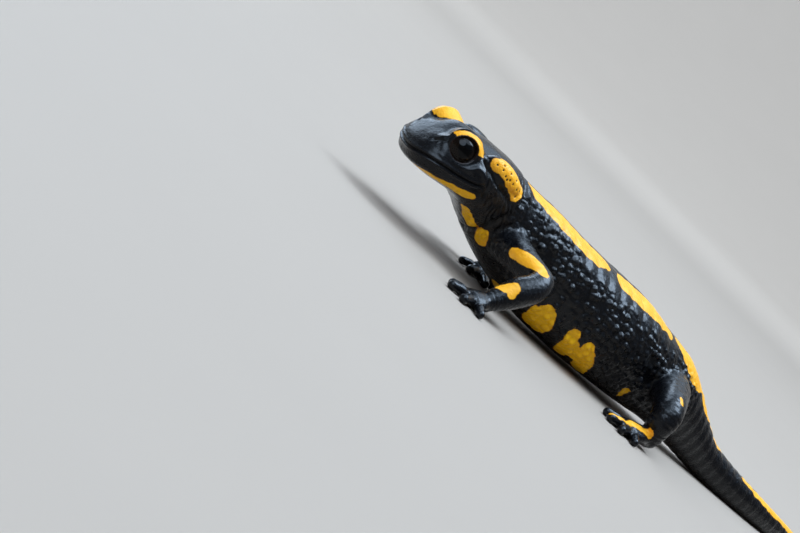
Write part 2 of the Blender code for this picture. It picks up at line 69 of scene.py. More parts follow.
# ---------------------------------------------------------------- sizes, mm, as in the CAD source
MM = 0.001
SNOUT_Y = 0.9
SNOUT_CAP = 5.2
SNOUT_CAP_POWER = 2.3
TAIL_END = 178.0
TAIL_CAP = 2.2
TAIL_BEND_FROM, TAIL_BEND_TO = 118.0, 172.0
TAIL_BEND = math.radians(30.0)
SPINE_STATIONS = (
    # s      z     half   up    down
    (0.0, 13.2, 6.5, 2.8, 3.2),
    (3.0, 14.1, 7.4, 3.7, 4.1),
    (6.0, 14.9, 8.3, 4.9, 4.9),
    (9.0, 15.7, 9.0, 5.75, 5.4),
    (12.5, 16.55, 9.6, 5.6, 5.9),
    (16.0, 16.85, 9.7, 5.75, 6.3),
    (20.0, 16.35, 9.1, 6.5, 6.9),
    (24.5, 15.2, 8.2, 7.3, 7.6),
    (31.0, 13.9, 8.6, 8.3, 8.9),
    (39.0, 12.9, 10.2, 9.1, 10.1),
    (49.0, 11.9, 11.5, 9.5, 11.0),
    (59.0, 11.5, 12.2, 9.7, 11.0),
    (69.0, 11.3, 11.8, 9.8, 10.7),
    (78.0, 10.75, 10.5, 9.0, 9.9),
    (86.0, 10.0, 8.8, 8.7, 8.7),
    (94.0, 8.3, 6.8, 7.4, 6.8),
    (103.0, 6.1, 5.2, 5.4, 5.2),
    (111.0, 4.35, 4.3, 4.0, 4.15),
    (119.0, 3.6, 3.8, 3.5, 3.72),
    (132.0, 3.0, 3.2, 2.95, 3.12),
    (147.0, 2.35, 2.55, 2.35, 2.47),
    (162.0, 1.6, 1.8, 1.65, 1.72),
    (172.0, 1.1, 1.3, 1.15, 1.22),
    (178.0, 0.8, 0.95, 0.85, 0.92),
)
POWER_TOP = 2.15
POWER_BELLY = 2.35

HEAD_ANCHOR = (9.0, 7.0)
HEAD_ANCHOR_AT = (9.0, 17.8)
HEAD_PITCH = math.radians(15.7)
EYE = (4.95, 8.45, 7.75)
EYE_RADIUS = 3.35
EYE_LOOK = (0.90, -0.22, 0.30)
LID_MIDDLE = (4.95, 8.85, 7.8)
LID_SIZE = (4.15, 3.95, 3.95)
PAROTOID = (6.8, 18.9, 6.9)
PAROTOID_SIZE = (2.4, 5.4, 2.2)
PAROTOID_SLOPE = math.radians(9.0)

LEFT_ARM = (
    (4.5, 30.5, 11.4, 4.6),
    (10.0, 30.2, 11.3, 3.6),
    (16.0, 30.4, 11.5, 3.0),
    (21.4, 31.2, 11.4, 2.75),
    (23.5, 29.8, 9.8, 2.85),
    (24.4, 27.2, 7.5, 2.95),
    (25.2, 24.8, 4.9, 2.45),
    (26.0, 22.6, 3.0, 1.95),
)
LEFT_HAND = ((26.1, 22.3, 2.3), (27.2, 18.4, 1.45), 2.8, 1.5)
LEFT_FINGERS = ((-50.0, 3.4, 0.92), (-15.0, 4.7, 1.0), (20.0, 4.9, 1.0), (60.0, 3.7, 0.92))
RIGHT_ARM = (
    (-4.5, 30.5, 11.2, 4.6),
    (-9.8, 32.6, 11.0, 3.6),
    (-14.4, 37.0, 10.5, 3.0),
    (-17.0, 42.4, 9.8, 2.75),
    (-17.2, 45.0, 7.8, 2.85),
    (-16.4, 46.4, 5.6, 2.7),
    (-14.9, 46.9, 3.8, 2.2),
    (-13.5, 46.7, 2.7, 1.9),
)
RIGHT_HAND = ((-13.5, 46.6, 2.2), (-10.8, 44.3, 1.4), 2.7, 1.45)
RIGHT_FINGERS = ((-48.0, 3.7, 0.92), (-14.0, 4.9, 1.0), (22.0, 4.7, 1.0), (56.0, 3.4, 0.92))
LEFT_LEG = (
    (4.0, 85.5, 11.0, 5.2),
    (9.5, 84.0, 11.0, 4.4),
    (15.0, 81.2, 10.4, 3.75),
    (19.6, 78.6, 9.4, 3.35),
    (21.8, 77.6, 7.9, 3.2),
    (22.4, 77.4, 6.0, 2.95),
    (22.3, 77.9, 4.2, 2.55),
    (22.2, 78.2, 2.9, 2.25),
)
LEFT_FOOT = ((22.2, 78.0, 2.3), (22.8, 71.8, 1.5), 3.2, 1.55)
LEFT_TOES = ((-46.0, 3.2, 0.95), (-20.0, 4.8, 1.02), (3.0, 5.6, 1.05), (28.0, 5.2, 1.02), (60.0, 3.7, 0.95))
RIGHT_LEG = (
    (-4.0, 85.5, 11.0, 5.2),
    (-9.5, 84.6, 11.0, 4.4),
    (-15.0, 84.0, 10.6, 3.75),
    (-20.0, 84.4, 9.6, 3.35),
    (-22.4, 86.0, 8.1, 3.2),
    (-23.2, 88.4, 6.2, 2.95),
    (-23.4, 90.4, 4.3, 2.55),
    (-23.6, 91.2, 2.9, 2.25),
)
RIGHT_FOOT = ((-23.7, 91.0, 2.3), (-25.6, 85.1, 1.5), 3.2, 1.55)
RIGHT_TOES = ((-60.0, 3.7, 0.95), (-28.0, 5.2, 1.02), (-3.0, 5.6, 1.05), (20.0, 4.8, 1.02), (46.0, 3.2, 0.95))
DIGIT_REST = 0.12

VOXEL = 0.23
FINE_HEAD_TO = 27.0  # the mesh is finer ahead of this distance from the snout


# ---------------------------------------------------------------- curves, as in the CAD source
def smooth_through(knots, values):
    """A curve through the values that doesn't overshoot between them."""
    x = np.asarray(knots, float)
    y = np.asarray(values, float)
    step = np.diff(x)
    rise = np.diff(y) / step
    slope = np.zeros_like(y)
    same = rise[:-1] * rise[1:] > 0
    w1 = 2 * step[1:] + step[:-1]
    w2 = step[1:] + 2 * step[:-1]
    safe = np.where(same, rise[:-1], 1.0), np.where(same, rise[1:], 1.0)
    slope[1:-1] = np.where(same, (w1 + w2) / (w1 / safe[0] + w2 / safe[1]), 0.0)
    slope[0], slope[-1] = rise[0], rise[-1]

    def at(t):
        t = np.clip(np.asarray(t, float), x[0], x[-1])
        i = np.clip(np.searchsorted(x, t, side="right") - 1, 0, len(x) - 2)
        h = step[i]
        u = (t - x[i]) / h
        return (
            y[i] * (1 + 2 * u) * (1 - u) ** 2
            + slope[i] * h * u * (1 - u) ** 2
            + y[i + 1] * u * u * (3 - 2 * u)
            + slope[i + 1] * h * u * u * (u - 1)
        )

    return at


def ease(t):
    t = np.clip(t, 0.0, 1.0)
    return t * t * (3 - 2 * t)


def band(t, low, high, soft):
    """1 between low and high, 0 outside, with soft ends of that width."""
    return ease((t - low) / soft + 0.5) * ease((high - t) / soft + 0.5)


STATION = np.array(SPINE_STATIONS)
SPINE_STEP = 0.25
SPINE_S = np.arange(0.0, TAIL_END + SPINE_STEP / 2, SPINE_STEP)
HEADING = TAIL_BEND * ease((SPINE_S - TAIL_BEND_FROM) / (TAIL_BEND_TO - TAIL_BEND_FROM))
SPINE = np.stack(
    [
        -np.concatenate([[0.0], np.cumsum(np.sin(HEADING[1:]) * SPINE_STEP)]),
        SNOUT_Y + np.concatenate([[0.0], np.cumsum(np.cos(HEADING[1:]) * SPINE_STEP)]),
        smooth_through(STATION[:, 0], STATION[:, 1])(SPINE_S),
    ],
    1,
)
HALF = smooth_through(STATION[:, 0], STATION[:, 2])
UP = smooth_through(STATION[:, 0], STATION[:, 3])
DOWN = smooth_through(STATION[:, 0], STATION[:, 4])


def spine_frame(s):
    """(point, left, up, back) of the spine at a distance s from the snout."""
    point = np.array([np.interp(s, SPINE_S, SPINE[:, k]) for k in range(3)])
    ahead = np.array([np.interp(s + 1.0, SPINE_S, SPINE[:, k]) for k in range(3)])
    behind = np.array([np.interp(s - 1.0, SPINE_S, SPINE[:, k]) for k in range(3)])
    back = ahead - behind
    back /= np.linalg.norm(back)
    left = np.cross(back, (0.0, 0.0, 1.0))
    left /= np.linalg.norm(left)
    return point, left, np.cross(left, back), back


PITCH_C, PITCH_S = math.cos(HEAD_PITCH), math.sin(HEAD_PITCH)


def head_point(x, y, z):
    dy, dz = y - HEAD_ANCHOR[0], z - HEAD_ANCHOR[1]
    return (x, HEAD_ANCHOR_AT[0] + dy * PITCH_C - dz * PITCH_S, HEAD_ANCHOR_AT[1] + dy * PITCH_S + dz * PITCH_C)


def head_vector(x, y, z):
    return Vector((x, y * PITCH_C - z * PITCH_S, y * PITCH_S + z * PITCH_C)).normalized()


def in_head(points):
    """Points of the ground plane's frame, in the head's own frame."""
    dy, dz = points[:, 1] - HEAD_ANCHOR_AT[0], points[:, 2] - HEAD_ANCHOR_AT[1]
    return np.stack(
        [points[:, 0], HEAD_ANCHOR[0] + dy * PITCH_C + dz * PITCH_S, HEAD_ANCHOR[1] - dy * PITCH_S + dz * PITCH_C], 1
    )


def on_body(s, angle):
    """The body's surface at a distance s from the snout. Angle 0 is the left flank, 90 the back, 180 the right flank."""
    point, left, up, _ = spine_frame(s)
    a = math.radians(angle)
    power = POWER_TOP if math.sin(a) >= 0 else POWER_BELLY
    tall = UP(s) if math.sin(a) >= 0 else DOWN(s)
    x = math.copysign(abs(math.cos(a)) ** (2 / power), math.cos(a)) * HALF(s)
    z = math.copysign(abs(math.sin(a)) ** (2 / power), math.sin(a)) * tall
    return point + left * x + up * z


# ---------------------------------------------------------------- the base form
def loft(bm, rings):
    loops = [[bm.verts.new(p) for p in ring] for ring in rings]
    count = len(rings[0])
    for a, b in zip(loops, loops[1:]):
        for i in range(count):
            j = (i + 1) % count
            bm.faces.new((a[i], a[j], b[j], b[i]))
    bm.faces.new(list(reversed(loops[0])))
    bm.faces.new(loops[-1])


def body_rings(count=72):
    rings = []
    places = np.concatenate(
        [
            SNOUT_CAP * (1 - np.cos(np.linspace(0.04, math.pi / 2, 20))),
            np.arange(SNOUT_CAP + 0.5, TAIL_END - TAIL_CAP, 0.7),
            TAIL_END - TAIL_CAP * (1 - np.sin(np.linspace(0.0, math.pi / 2 - 0.08, 10))),
        ]
    )
    angles = 2 * math.pi * np.arange(count) / count
    c, d = np.cos(angles), np.sin(angles)
    power = np.where(d >= 0, POWER_TOP, POWER_BELLY)
    across = np.sign(c) * np.abs(c) ** (2 / power)
    above = np.sign(d) * np.abs(d) ** (2 / power)
    for s in places:
        point, left, up, _ = spine_frame(s)
        round_off = 1.0
        if s < SNOUT_CAP:
            round_off = (1 - (1 - s / SNOUT_CAP) ** SNOUT_CAP_POWER) ** (1 / SNOUT_CAP_POWER)
        if s > TAIL_END - TAIL_CAP:
            round_off = math.sqrt(max(1 - ((s - TAIL_END + TAIL_CAP) / TAIL_CAP) ** 2, 1e-4))
        tall = np.where(d >= 0, UP(s), DOWN(s))
        ring = point + (np.outer(across * HALF(s), left) + np.outer(above * tall, up)) * round_off
        rings.append([tuple(p) for p in ring])
    return rings


def limb_path(joints, steps=60):
    """Points along a leg's middle, with its radius and the distance along it."""
    joints = np.array(joints)
    length = np.concatenate([[0], np.cumsum(np.linalg.norm(np.diff(joints[:, :3], axis=0), axis=1))])
    at = [smooth_through(length, joints[:, k]) for k in range(4)]
    places = np.linspace(0, length[-1], steps)
    return np.stack([f(places) for f in at[:3]], 1), at[3](places), places


def limb_rings(joints, count=36):
    centres, radii, _ = limb_path(joints, 40)
    return tube_rings(centres, radii, radii, count)


def tube_rings(centres, wide, tall, count):
    tangent = np.gradient(centres, axis=0)
    tangent /= np.linalg.norm(tangent, axis=1)[:, None]
    side = np.cross(tangent[0], (0.0, 0.0, 1.0))
    rings = []
    for p, t, w, h in zip(centres, tangent, wide, tall):
        side = side - t * (side @ t)
        side /= np.linalg.norm(side)
        up = np.cross(side, t)
        rings.append((p, t, side, up, w, h))
    out = []

    def ring(p, side, up, w, h):
        return [
            tuple(p + side * w * math.cos(2 * math.pi * i / count) + up * h * math.sin(2 * math.pi * i / count))
            for i in range(count)
        ]

    p, t, side, up, w, h = rings[0]
    for a in (1.45, 1.2, 0.9, 0.6, 0.3):
        out.append(ring(p - t * min(w, h) * math.sin(a), side, up, w * math.cos(a), h * math.cos(a)))
    for p, t, side, up, w, h in rings:
        out.append(ring(p, side, up, w, h))
    for a in (0.3, 0.6, 0.9, 1.2, 1.45):
        out.append(ring(p + t * min(w, h) * math.sin(a), side, up, w * math.cos(a), h * math.cos(a)))
    return out


def digit_paths(palm, digits):
    """[(root, middle, tip, radius)] of each finger or toe."""
    wrist, knuckles, half_width, _ = palm
    wrist, knuckles = np.array(wrist), np.array(knuckles)
    along = knuckles - wrist
    ahead = along / np.linalg.norm(along)
    side = np.array([-ahead[1], ahead[0], 0.0])
    out = []
    for angle, length, radius in digits:
        a = math.radians(angle)
        direction = np.array(
            [ahead[0] * math.cos(a) - ahead[1] * math.sin(a), ahead[0] * math.sin(a) + ahead[1] * math.cos(a), 0.0]
        )
        across = half_width * 0.72 * math.sin(a)
        root = knuckles + side * across * 0.9 - ahead * (1 - math.cos(a)) * 1.2 + direction * 0.4
        root[2] = 1.15
        tip = root + direction * length
        tip[2] = radius - DIGIT_REST
        middle = (root + tip) / 2
        middle[2] = (root[2] + tip[2]) / 2 + 0.22
        out.append((root, middle, tip, radius))
    return out


def foot_forms(bm, palm, digits):
    wrist, knuckles, half_width, half_height = palm
    wrist, knuckles = np.array(wrist), np.array(knuckles)
    t = np.linspace(0, 1, 14)
    centres = wrist + (knuckles - wrist) * t[:, None]
    wide = half_width * (0.62 + 0.38 * ease(t * 1.4))
    tall = half_height * (1.15 - 0.2 * t)
    loft(bm, tube_rings(centres, wide, tall, 30))
    for root, middle, tip, radius in digit_paths(palm, digits):
        path = np.array([root, middle, tip])
        f = [smooth_through((0, 0.5, 1), path[:, k]) for k in range(3)]
        u = np.linspace(0, 1, 14)
        centres = np.stack([g(u) for g in f], 1)
        # slimmer between the joints and a soft pad at the tip
        radii = radius * (1.08 - 0.12 * u - 0.07 * np.sin(u * math.pi * 2.0) ** 2)
        loft(bm, tube_rings(centres, radii, radii, 20))


def base_form():
    mesh = bpy.data.meshes.new("base_form")
    bm = bmesh.new()
    loft(bm, body_rings())
    for joints in (LEFT_ARM, RIGHT_ARM, LEFT_LEG, RIGHT_LEG):
        loft(bm, limb_rings(joints))
    foot_forms(bm, LEFT_HAND, LEFT_FINGERS)
    foot_forms(bm, RIGHT_HAND, RIGHT_FINGERS)
    foot_forms(bm, LEFT_FOOT, LEFT_TOES)
    foot_forms(bm, RIGHT_FOOT, RIGHT_TOES)
    for side in (1, -1):
        place = Matrix.Translation(head_point(side * LID_MIDDLE[0], LID_MIDDLE[1], LID_MIDDLE[2]))
        bmesh.ops.create_uvsphere(
            bm, u_segments=56, v_segments=36, radius=1.0,
            matrix=place @ Matrix.Rotation(HEAD_PITCH, 4, "X") @ Matrix.Diagonal((*LID_SIZE, 1.0)),
        )
        gland = Matrix.Translation(head_point(side * PAROTOID[0], PAROTOID[1], PAROTOID[2]))
        bmesh.ops.create_uvsphere(
            bm, u_segments=48, v_segments=32, radius=1.0,
            matrix=gland @ Matrix.Rotation(-PAROTOID_SLOPE, 4, "X") @ Matrix.Diagonal((*PAROTOID_SIZE, 1.0)),
        )
    bmesh.ops.recalc_face_normals(bm, faces=bm.faces)
    bm.to_mesh(mesh)
    bm.free()
    obj = bpy.data.objects.new("base_form", mesh)
    bpy.context.scene.collection.objects.link(obj)
    remesh = obj.modifiers.new("remesh", "REMESH")
    remesh.mode = "VOXEL"
    remesh.voxel_size = VOXEL
    bpy.context.view_layer.update()
    graph = bpy.context.evaluated_depsgraph_get()
    baked = bpy.data.meshes.new_from_object(obj.evaluated_get(graph))
    bpy.data.objects.remove(obj)

    # One more level of detail on the head.
    bm = bmesh.new()
    bm.from_mesh(baked)
    near = [f for f in bm.faces if f.calc_center_median().y < FINE_HEAD_TO]
    edges = list({e for f in near for e in f.edges})
    bmesh.ops.subdivide_edges(bm, edges=edges, cuts=1, use_grid_fill=True, smooth=0.0)
    bmesh.ops.triangulate(bm, faces=[f for f in bm.faces if len(f.verts) > 4])
    bm.to_mesh(baked)
    bm.free()
    return baked


# ---------------------------------------------------------------- mesh arithmetic
class Surface:
    """The vertices of a mesh as an array, with its edges and normals."""

    def __init__(self, mesh):
        self.mesh = mesh
        self.count = len(mesh.vertices)
        points = np.empty(self.count * 3)
        mesh.vertices.foreach_get("co", points)
        self.points = points.reshape(-1, 3)
        edges = np.empty(len(mesh.edges) * 2, np.int64)
        mesh.edges.foreach_get("vertices", edges)
        self.edges = edges.reshape(-1, 2)
        self.degree = np.bincount(self.edges.ravel(), minlength=self.count)
        mesh.calc_loop_triangles()
        tri = np.empty(len(mesh.loop_triangles) * 3, np.int64)
        mesh.loop_triangles.foreach_get("vertices", tri)
        self.tri = tri.reshape(-1, 3)

    def average(self, values):
        """Each vertex's neighbours' mean."""
        a, b = self.edges.T
        flat = values.reshape(self.count, -1)
        out = np.stack(
            [
                np.bincount(a, flat[b, k], self.count) + np.bincount(b, flat[a, k], self.count)
                for k in range(flat.shape[1])
            ],
            1,
        )
        return (out / self.degree[:, None]).reshape(values.shape)

    def smooth(self, times, weight=1.0, share=0.5):
        w = np.broadcast_to(np.asarray(weight, float), (self.count,))[:, None] * share
        for _ in range(times):
            self.points = self.points + (self.average(self.points) - self.points) * w

    def smooth_keeping(self, times):
        """Smooths without shrinking."""
        for _ in range(times):
            for share in (0.5, -0.52):
                self.points = self.points + (self.average(self.points) - self.points) * share

    def normals(self):
        a, b, c = (self.points[self.tri[:, k]] for k in range(3))
        face = np.cross(b - a, c - a)
        out = np.zeros((self.count, 3))
        for k in range(3):
            for corner in range(3):
                out[:, k] += np.bincount(self.tri[:, corner], face[:, k], self.count)
        return out / np.maximum(np.linalg.norm(out, axis=1), 1e-12)[:, None]


def shares(cells, seed):
    """Three even numbers from 0 to 1 for each whole-number cell, the same each run."""
    x = cells[:, 0].astype(np.uint64) * np.uint64(73856093)
    y = cells[:, 1].astype(np.uint64) * np.uint64(19349663)
    z = cells[:, 2].astype(np.uint64) * np.uint64(83492791)
    h = (x ^ y ^ z) + np.uint64(seed * 7919 + 17)
    out = []
    for _ in range(3):
        h = (h ^ (h >> np.uint64(13))) * np.uint64(0x9E3779B97F4A7C15)
        h = h ^ (h >> np.uint64(29))
        out.append((h >> np.uint64(11)).astype(float) / float(1 << 53))
    return np.stack(out, 1)


def beads(points, size, seed, jitter=0.75):
    """Distance, in cell sizes, to the nearest and second nearest of scattered points, and a number for the nearest."""
    scaled = points / size
    home = np.floor(scaled).astype(np.int64)
    first = np.full(len(points), 9.0)
    second = np.full(len(points), 9.0)
    tone = np.zeros(len(points))
    for i in (-1, 0, 1):
        for j in (-1, 0, 1):
            for k in (-1, 0, 1):
                cell = home + (i, j, k)
                at = shares(cell + 100000, seed)
                d = np.linalg.norm(cell + 0.5 + (at - 0.5) * jitter - scaled, axis=1)
                nearer = d < first
                second = np.where(nearer, first, np.minimum(second, d))
                tone = np.where(nearer, at[:, 0], tone)
                first = np.where(nearer, d, first)
    return first, second, tone


def cloud(points, size, seed):
    """Smooth noise from -1 to 1."""
    scaled = points / size
    home = np.floor(scaled).astype(np.int64)
    u = scaled - home
    u = u * u * (3 - 2 * u)
    total = np.zeros(len(points))
    for i in (0, 1):
        for j in (0, 1):
            for k in (0, 1):
                w = (
                    np.where(i, u[:, 0], 1 - u[:, 0])
                    * np.where(j, u[:, 1], 1 - u[:, 1])
                    * np.where(k, u[:, 2], 1 - u[:, 2])
                )
                total += w * shares(home + (i, j, k) + 100000, seed)[:, 0]
    return total * 2 - 1


def inside(points, path):
    """How far within a rounded stroke each point lies, mm. The path is (x, y, z, radius) points."""
    path = np.array(path, float)
    if len(path) == 1:
        return path[0, 3] - np.linalg.norm(points - path[0, :3], axis=1)
    best = np.full(len(points), -1e3)
    for a, b in zip(path, path[1:]):
        ab = b[:3] - a[:3]
        t = np.clip((points - a[:3]) @ ab / max(ab @ ab, 1e-9), 0, 1)
        d = np.linalg.norm(points - a[:3] - t[:, None] * ab, axis=1)
        best = np.maximum(best, a[3] + (b[3] - a[3]) * t - d)
    return best


def fine_path(path, step=0.5):
    """A smooth path through the given points."""
    path = np.array(path, float)
    length = np.concatenate([[0], np.cumsum(np.linalg.norm(np.diff(path[:, :3], axis=0), axis=1))])
    places = np.linspace(0, length[-1], max(int(length[-1] / step), 2))
    return np.stack([smooth_through(length, path[:, k])(places) for k in range(path.shape[1])], 1)


def groove(points, path, width):
    """1 on a smooth line through the path, fading over the width; the fourth number of each point scales it."""
    path = fine_path(path)
    out = np.zeros(len(points))
    low, high = path[:, :3].min(0) - 4 * width, path[:, :3].max(0) + 4 * width
    near = np.all((points > low) & (points < high), axis=1)
    if near.any():
        part = points[near]
        best = np.full(len(part), 1e9)
        scale = np.zeros(len(part))
        for a, b in zip(path, path[1:]):
            ab = b[:3] - a[:3]
            t = np.clip((part - a[:3]) @ ab / max(ab @ ab, 1e-9), 0, 1)
            d = np.linalg.norm(part - a[:3] - t[:, None] * ab, axis=1)
            nearer = d < best
            scale = np.where(nearer, a[3] + (b[3] - a[3]) * t, scale)
            best = np.where(nearer, d, best)
        out[near] = np.exp(-((best / width) ** 2)) * scale
    return out


# ---------------------------------------------------------------- where each vertex is
class Places:
    """Body, head and leg coordinates of each vertex."""

    def __init__(self, points):
        self.points = points
        flat = points[:, 1] - SNOUT_Y
        s = np.clip(flat, 0.0, TAIL_END)
        tail = np.where(flat > TAIL_BEND_FROM - 4)[0]
        for start in range(0, len(tail), 4000):
            part = tail[start : start + 4000]
            d = (points[part, None, 0] - SPINE[None, :, 0]) ** 2 + (points[part, None, 1] - SPINE[None, :, 1]) ** 2
            s[part] = SPINE_S[np.argmin(d, axis=1)]
        self.s = s
        middle = np.stack([np.interp(s, SPINE_S, SPINE[:, k]) for k in range(3)], 1)
        heading = np.interp(s, SPINE_S, HEADING)
        away = points - middle
        self.x = away[:, 0] * np.cos(heading) + away[:, 1] * np.sin(heading)
        self.z = away[:, 2]
        half, up, down = HALF(s), UP(s), DOWN(s)
        tall = np.where(self.z >= 0, up, down)
        power = np.where(self.z >= 0, POWER_TOP, POWER_BELLY)
        nx, nz = np.abs(self.x) / half, np.abs(self.z) / tall
        self.body_out = ((nx**power + nz**power) ** (1 / power) - 1) * np.minimum(half, tall)
        self.angle = np.degrees(np.arctan2(np.sign(self.z) * nz ** (power / 2), np.sign(self.x) * nx ** (power / 2)))
        # the height on the flank, whichever side: 90 on the back, 0 on the flank, -90 on the belly
        self.rise = np.degrees(np.arcsin(np.clip(np.sin(np.radians(self.angle)), -1, 1)))
        self.head = in_head(points)
        self.legs = {}
        out = np.full(len(points), 1e3)
        for name, joints, palm in (
            ("left_arm", LEFT_ARM, LEFT_HAND),
            ("right_arm", RIGHT_ARM, RIGHT_HAND),
            ("left_leg", LEFT_LEG, LEFT_FOOT),
            ("right_leg", RIGHT_LEG, RIGHT_FOOT),
        ):
            centres, radii, along = limb_path(joints)
            best = np.full(len(points), 1e9)
            t = np.zeros(len(points))
            r = np.ones(len(points))
            for c, q, a in zip(centres, radii, along):
                d = np.linalg.norm(points - c, axis=1) - q
                nearer = d < best
                best = np.where(nearer, d, best)
                t = np.where(nearer, a, t)
                r = np.where(nearer, q, r)
            foot = np.linalg.norm((points - np.array(palm[1]))[:, :2], axis=1) - 9.5
            self.legs[name] = (best, t, r, along[-1], foot)
            out = np.minimum(out, np.where(foot < 0, np.minimum(best, -0.5 + 0 * foot), best))
        self.leg_out = out
        self.leg = ease((self.body_out - out) / 1.6 + 0.5)  # 1 on the legs, 0 on the body
        self.torso = 1 - self.leg


# ---------------------------------------------------------------- the marks of the skin, mm
# (x, y, z, radius) on the left side; the head's own frame where so named.
MOUTH_Z = smooth_through(
    [0.0, 0.6, 1.4, 3.0, 4.8, 7.1, 9.3, 11.6, 13.4, 14.6], [3.5, 3.8, 4.15, 4.35, 4.32, 4.12, 3.93, 3.86, 4.0, 4.15]
)
MOUTH_END = 14.3
NOSTRIL = (3.45, 1.5, 6.45)
CANTHUS = ((3.9, 1.9, 6.95, 0.5), (4.1, 2.7, 7.25, 1.0), (4.5, 4.0, 7.75, 1.0), (5.3, 4.9, 8.5, 0.6))
JOWL_BACK = ((7.4, 13.0, 8.1, 0.5), (8.3, 13.9, 7.4, 1.0), (9.15, 14.65, 6.1, 1.0), (9.35, 15.2, 4.6, 1.0), (9.2, 15.5, 2.6, 0.7), (8.0, 15.8, 0.6, 0.3))
GLAND_FOOT = ((7.7, 13.3, 7.9, 0.6), (8.8, 15.4, 6.6, 1.0), (9.3, 17.4, 5.4, 1.0), (9.3, 19.6, 4.3, 1.0), (8.9, 22.0, 3.1, 0.8), (8.4, 24.2, 2.4, 0.4))
GLAND_TOP = ((5.0, 14.6, 9.6, 0.3), (4.2, 17.0, 9.6, 0.8), (3.9, 20.0, 9.2, 0.8), (4.1, 23.0, 8.4, 0.5))
NECK_FOLD = ((0.0, 26.6, 7.2, 0.3), (3.0, 26.6, 6.6, 0.7), (5.3, 26.3, 5.4, 1.0), (6.9, 26.0, 4.0, 1.0), (7.9, 25.3, 2.3, 0.8), (8.2, 24.3, 0.3, 0.5))
GULAR = ((0.0, 21.5, -7.3, 0.7), (3.6, 21.0, -6.4, 1.0), (6.2, 20.9, -4.5, 1.0), (7.6, 21.5, -2.8, 1.0), (8.2, 22.6, -0.7, 0.8), (8.3, 23.6, 1.2, 0.4))
CHEEK_RIDGE = (
    (7.0, 4.6, 7.4, 0.3), (7.6, 5.6, 6.7, 0.8), (8.4, 7.1, 5.95, 1.0), (8.8, 8.6, 5.85, 1.0), (8.95, 10.2, 6.1, 1.0),
    (8.95, 11.6, 6.75, 1.0), (9.15, 12.8, 6.5, 1.0), (9.4, 13.7, 5.5, 0.8), (9.45, 14.0, 4.6, 0.2),
)
PORES = (
    (8.1, 15.4, 8.6), (8.5, 16.9, 8.2), (9.0, 17.9, 7.5), (8.9, 19.2, 7.0), (8.9, 20.3, 6.6), (8.4, 21.95, 5.7),
    (8.0, 22.9, 4.3), (8.0, 17.0, 9.0), (8.4, 19.0, 8.2), (8.2, 21.0, 7.3), (8.7, 18.5, 6.7), (7.6, 23.2, 5.4),
)

HEAD_MARKS = {
    "gland": ((7.9, 15.5, 8.6, 1.25), (7.8, 17.5, 8.3, 1.75), (7.8, 20.1, 7.1, 2.15), (7.6, 22.9, 5.5, 2.15)),
    "jaw": ((2.6, 3.0, 1.0, 0.6), (4.4, 4.2, 1.0, 0.85), (6.0, 6.6, 0.9, 1.05), (7.0, 9.6, 0.7, 1.25), (7.8, 12.4, 0.8, 1.35), (8.5, 14.0, 1.2, 1.0)),
}
BODY_MARKS = {
    "throat": ((5.4, 19.0, 10.3, 1.3), (4.8, 21.0, 9.4, 1.8), (4.9, 22.6, 8.9, 1.6)),
    "throat_rear": ((6.3, 25.0, 9.5, 1.2), (5.2, 26.8, 7.9, 1.35)),
    "flank_one": ((10.1, 46.6, 6.6, 1.9), (8.7, 48.4, 4.2, 2.6), (6.9, 48.2, 2.6, 1.9)),
    "flank_one_front": ((9.3, 45.2, 5.2, 1.3), (7.3, 46.6, 3.0, 1.3)),
    "flank_one_rear": ((10.6, 48.0, 6.6, 1.3), (8.8, 50.4, 4.0, 1.4), (6.8, 50.6, 2.2, 1.3)),
    "flank_two": ((11.3, 54.8, 6.8, 1.5), (10.4, 56.6, 4.8, 1.9), (8.4, 57.6, 2.8, 1.6), (7.1, 58.6, 2.0, 1.3)),
    "flank_two_middle": ((10.2, 57.6, 4.4, 1.7), (9.6, 60.2, 3.8, 2.0)),
    "flank_two_rear": ((11.6, 59.6, 6.8, 1.5), (10.4, 62.2, 4.6, 2.0), (8.0, 64.4, 2.6, 1.9), (6.2, 66.4, 1.6, 1.4)),
    "groin": ((8.2, 77.2, 3.2, 1.0), (9.4, 76.2, 5.0, 1.1)),
    "upper_arm": ((14.6, 27.7, 11.6, 1.35), (17.2, 28.1, 12.5, 1.5), (20.4, 29.0, 13.3, 1.35), (23.2, 29.6, 13.2, 0.85)),
    "forearm": ((24.7, 22.5, 5.9, 0.7), (25.7, 23.4, 6.6, 1.0), (26.1, 24.6, 7.6, 1.35), (27.0, 24.6, 6.7, 0.9)),
    "foot": ((24.0, 75.6, 3.5, 1.1), (23.6, 73.4, 3.2, 1.25), (23.2, 71.0, 3.0, 1.2), (23.1, 68.6, 2.5, 1.0), (23.3, 66.4, 2.0, 0.85), (23.4, 64.6, 1.7, 0.6)),
    "knee": ((20.6, 78.0, 12.9, 0.65), (22.0, 78.2, 12.0, 0.6)),
}
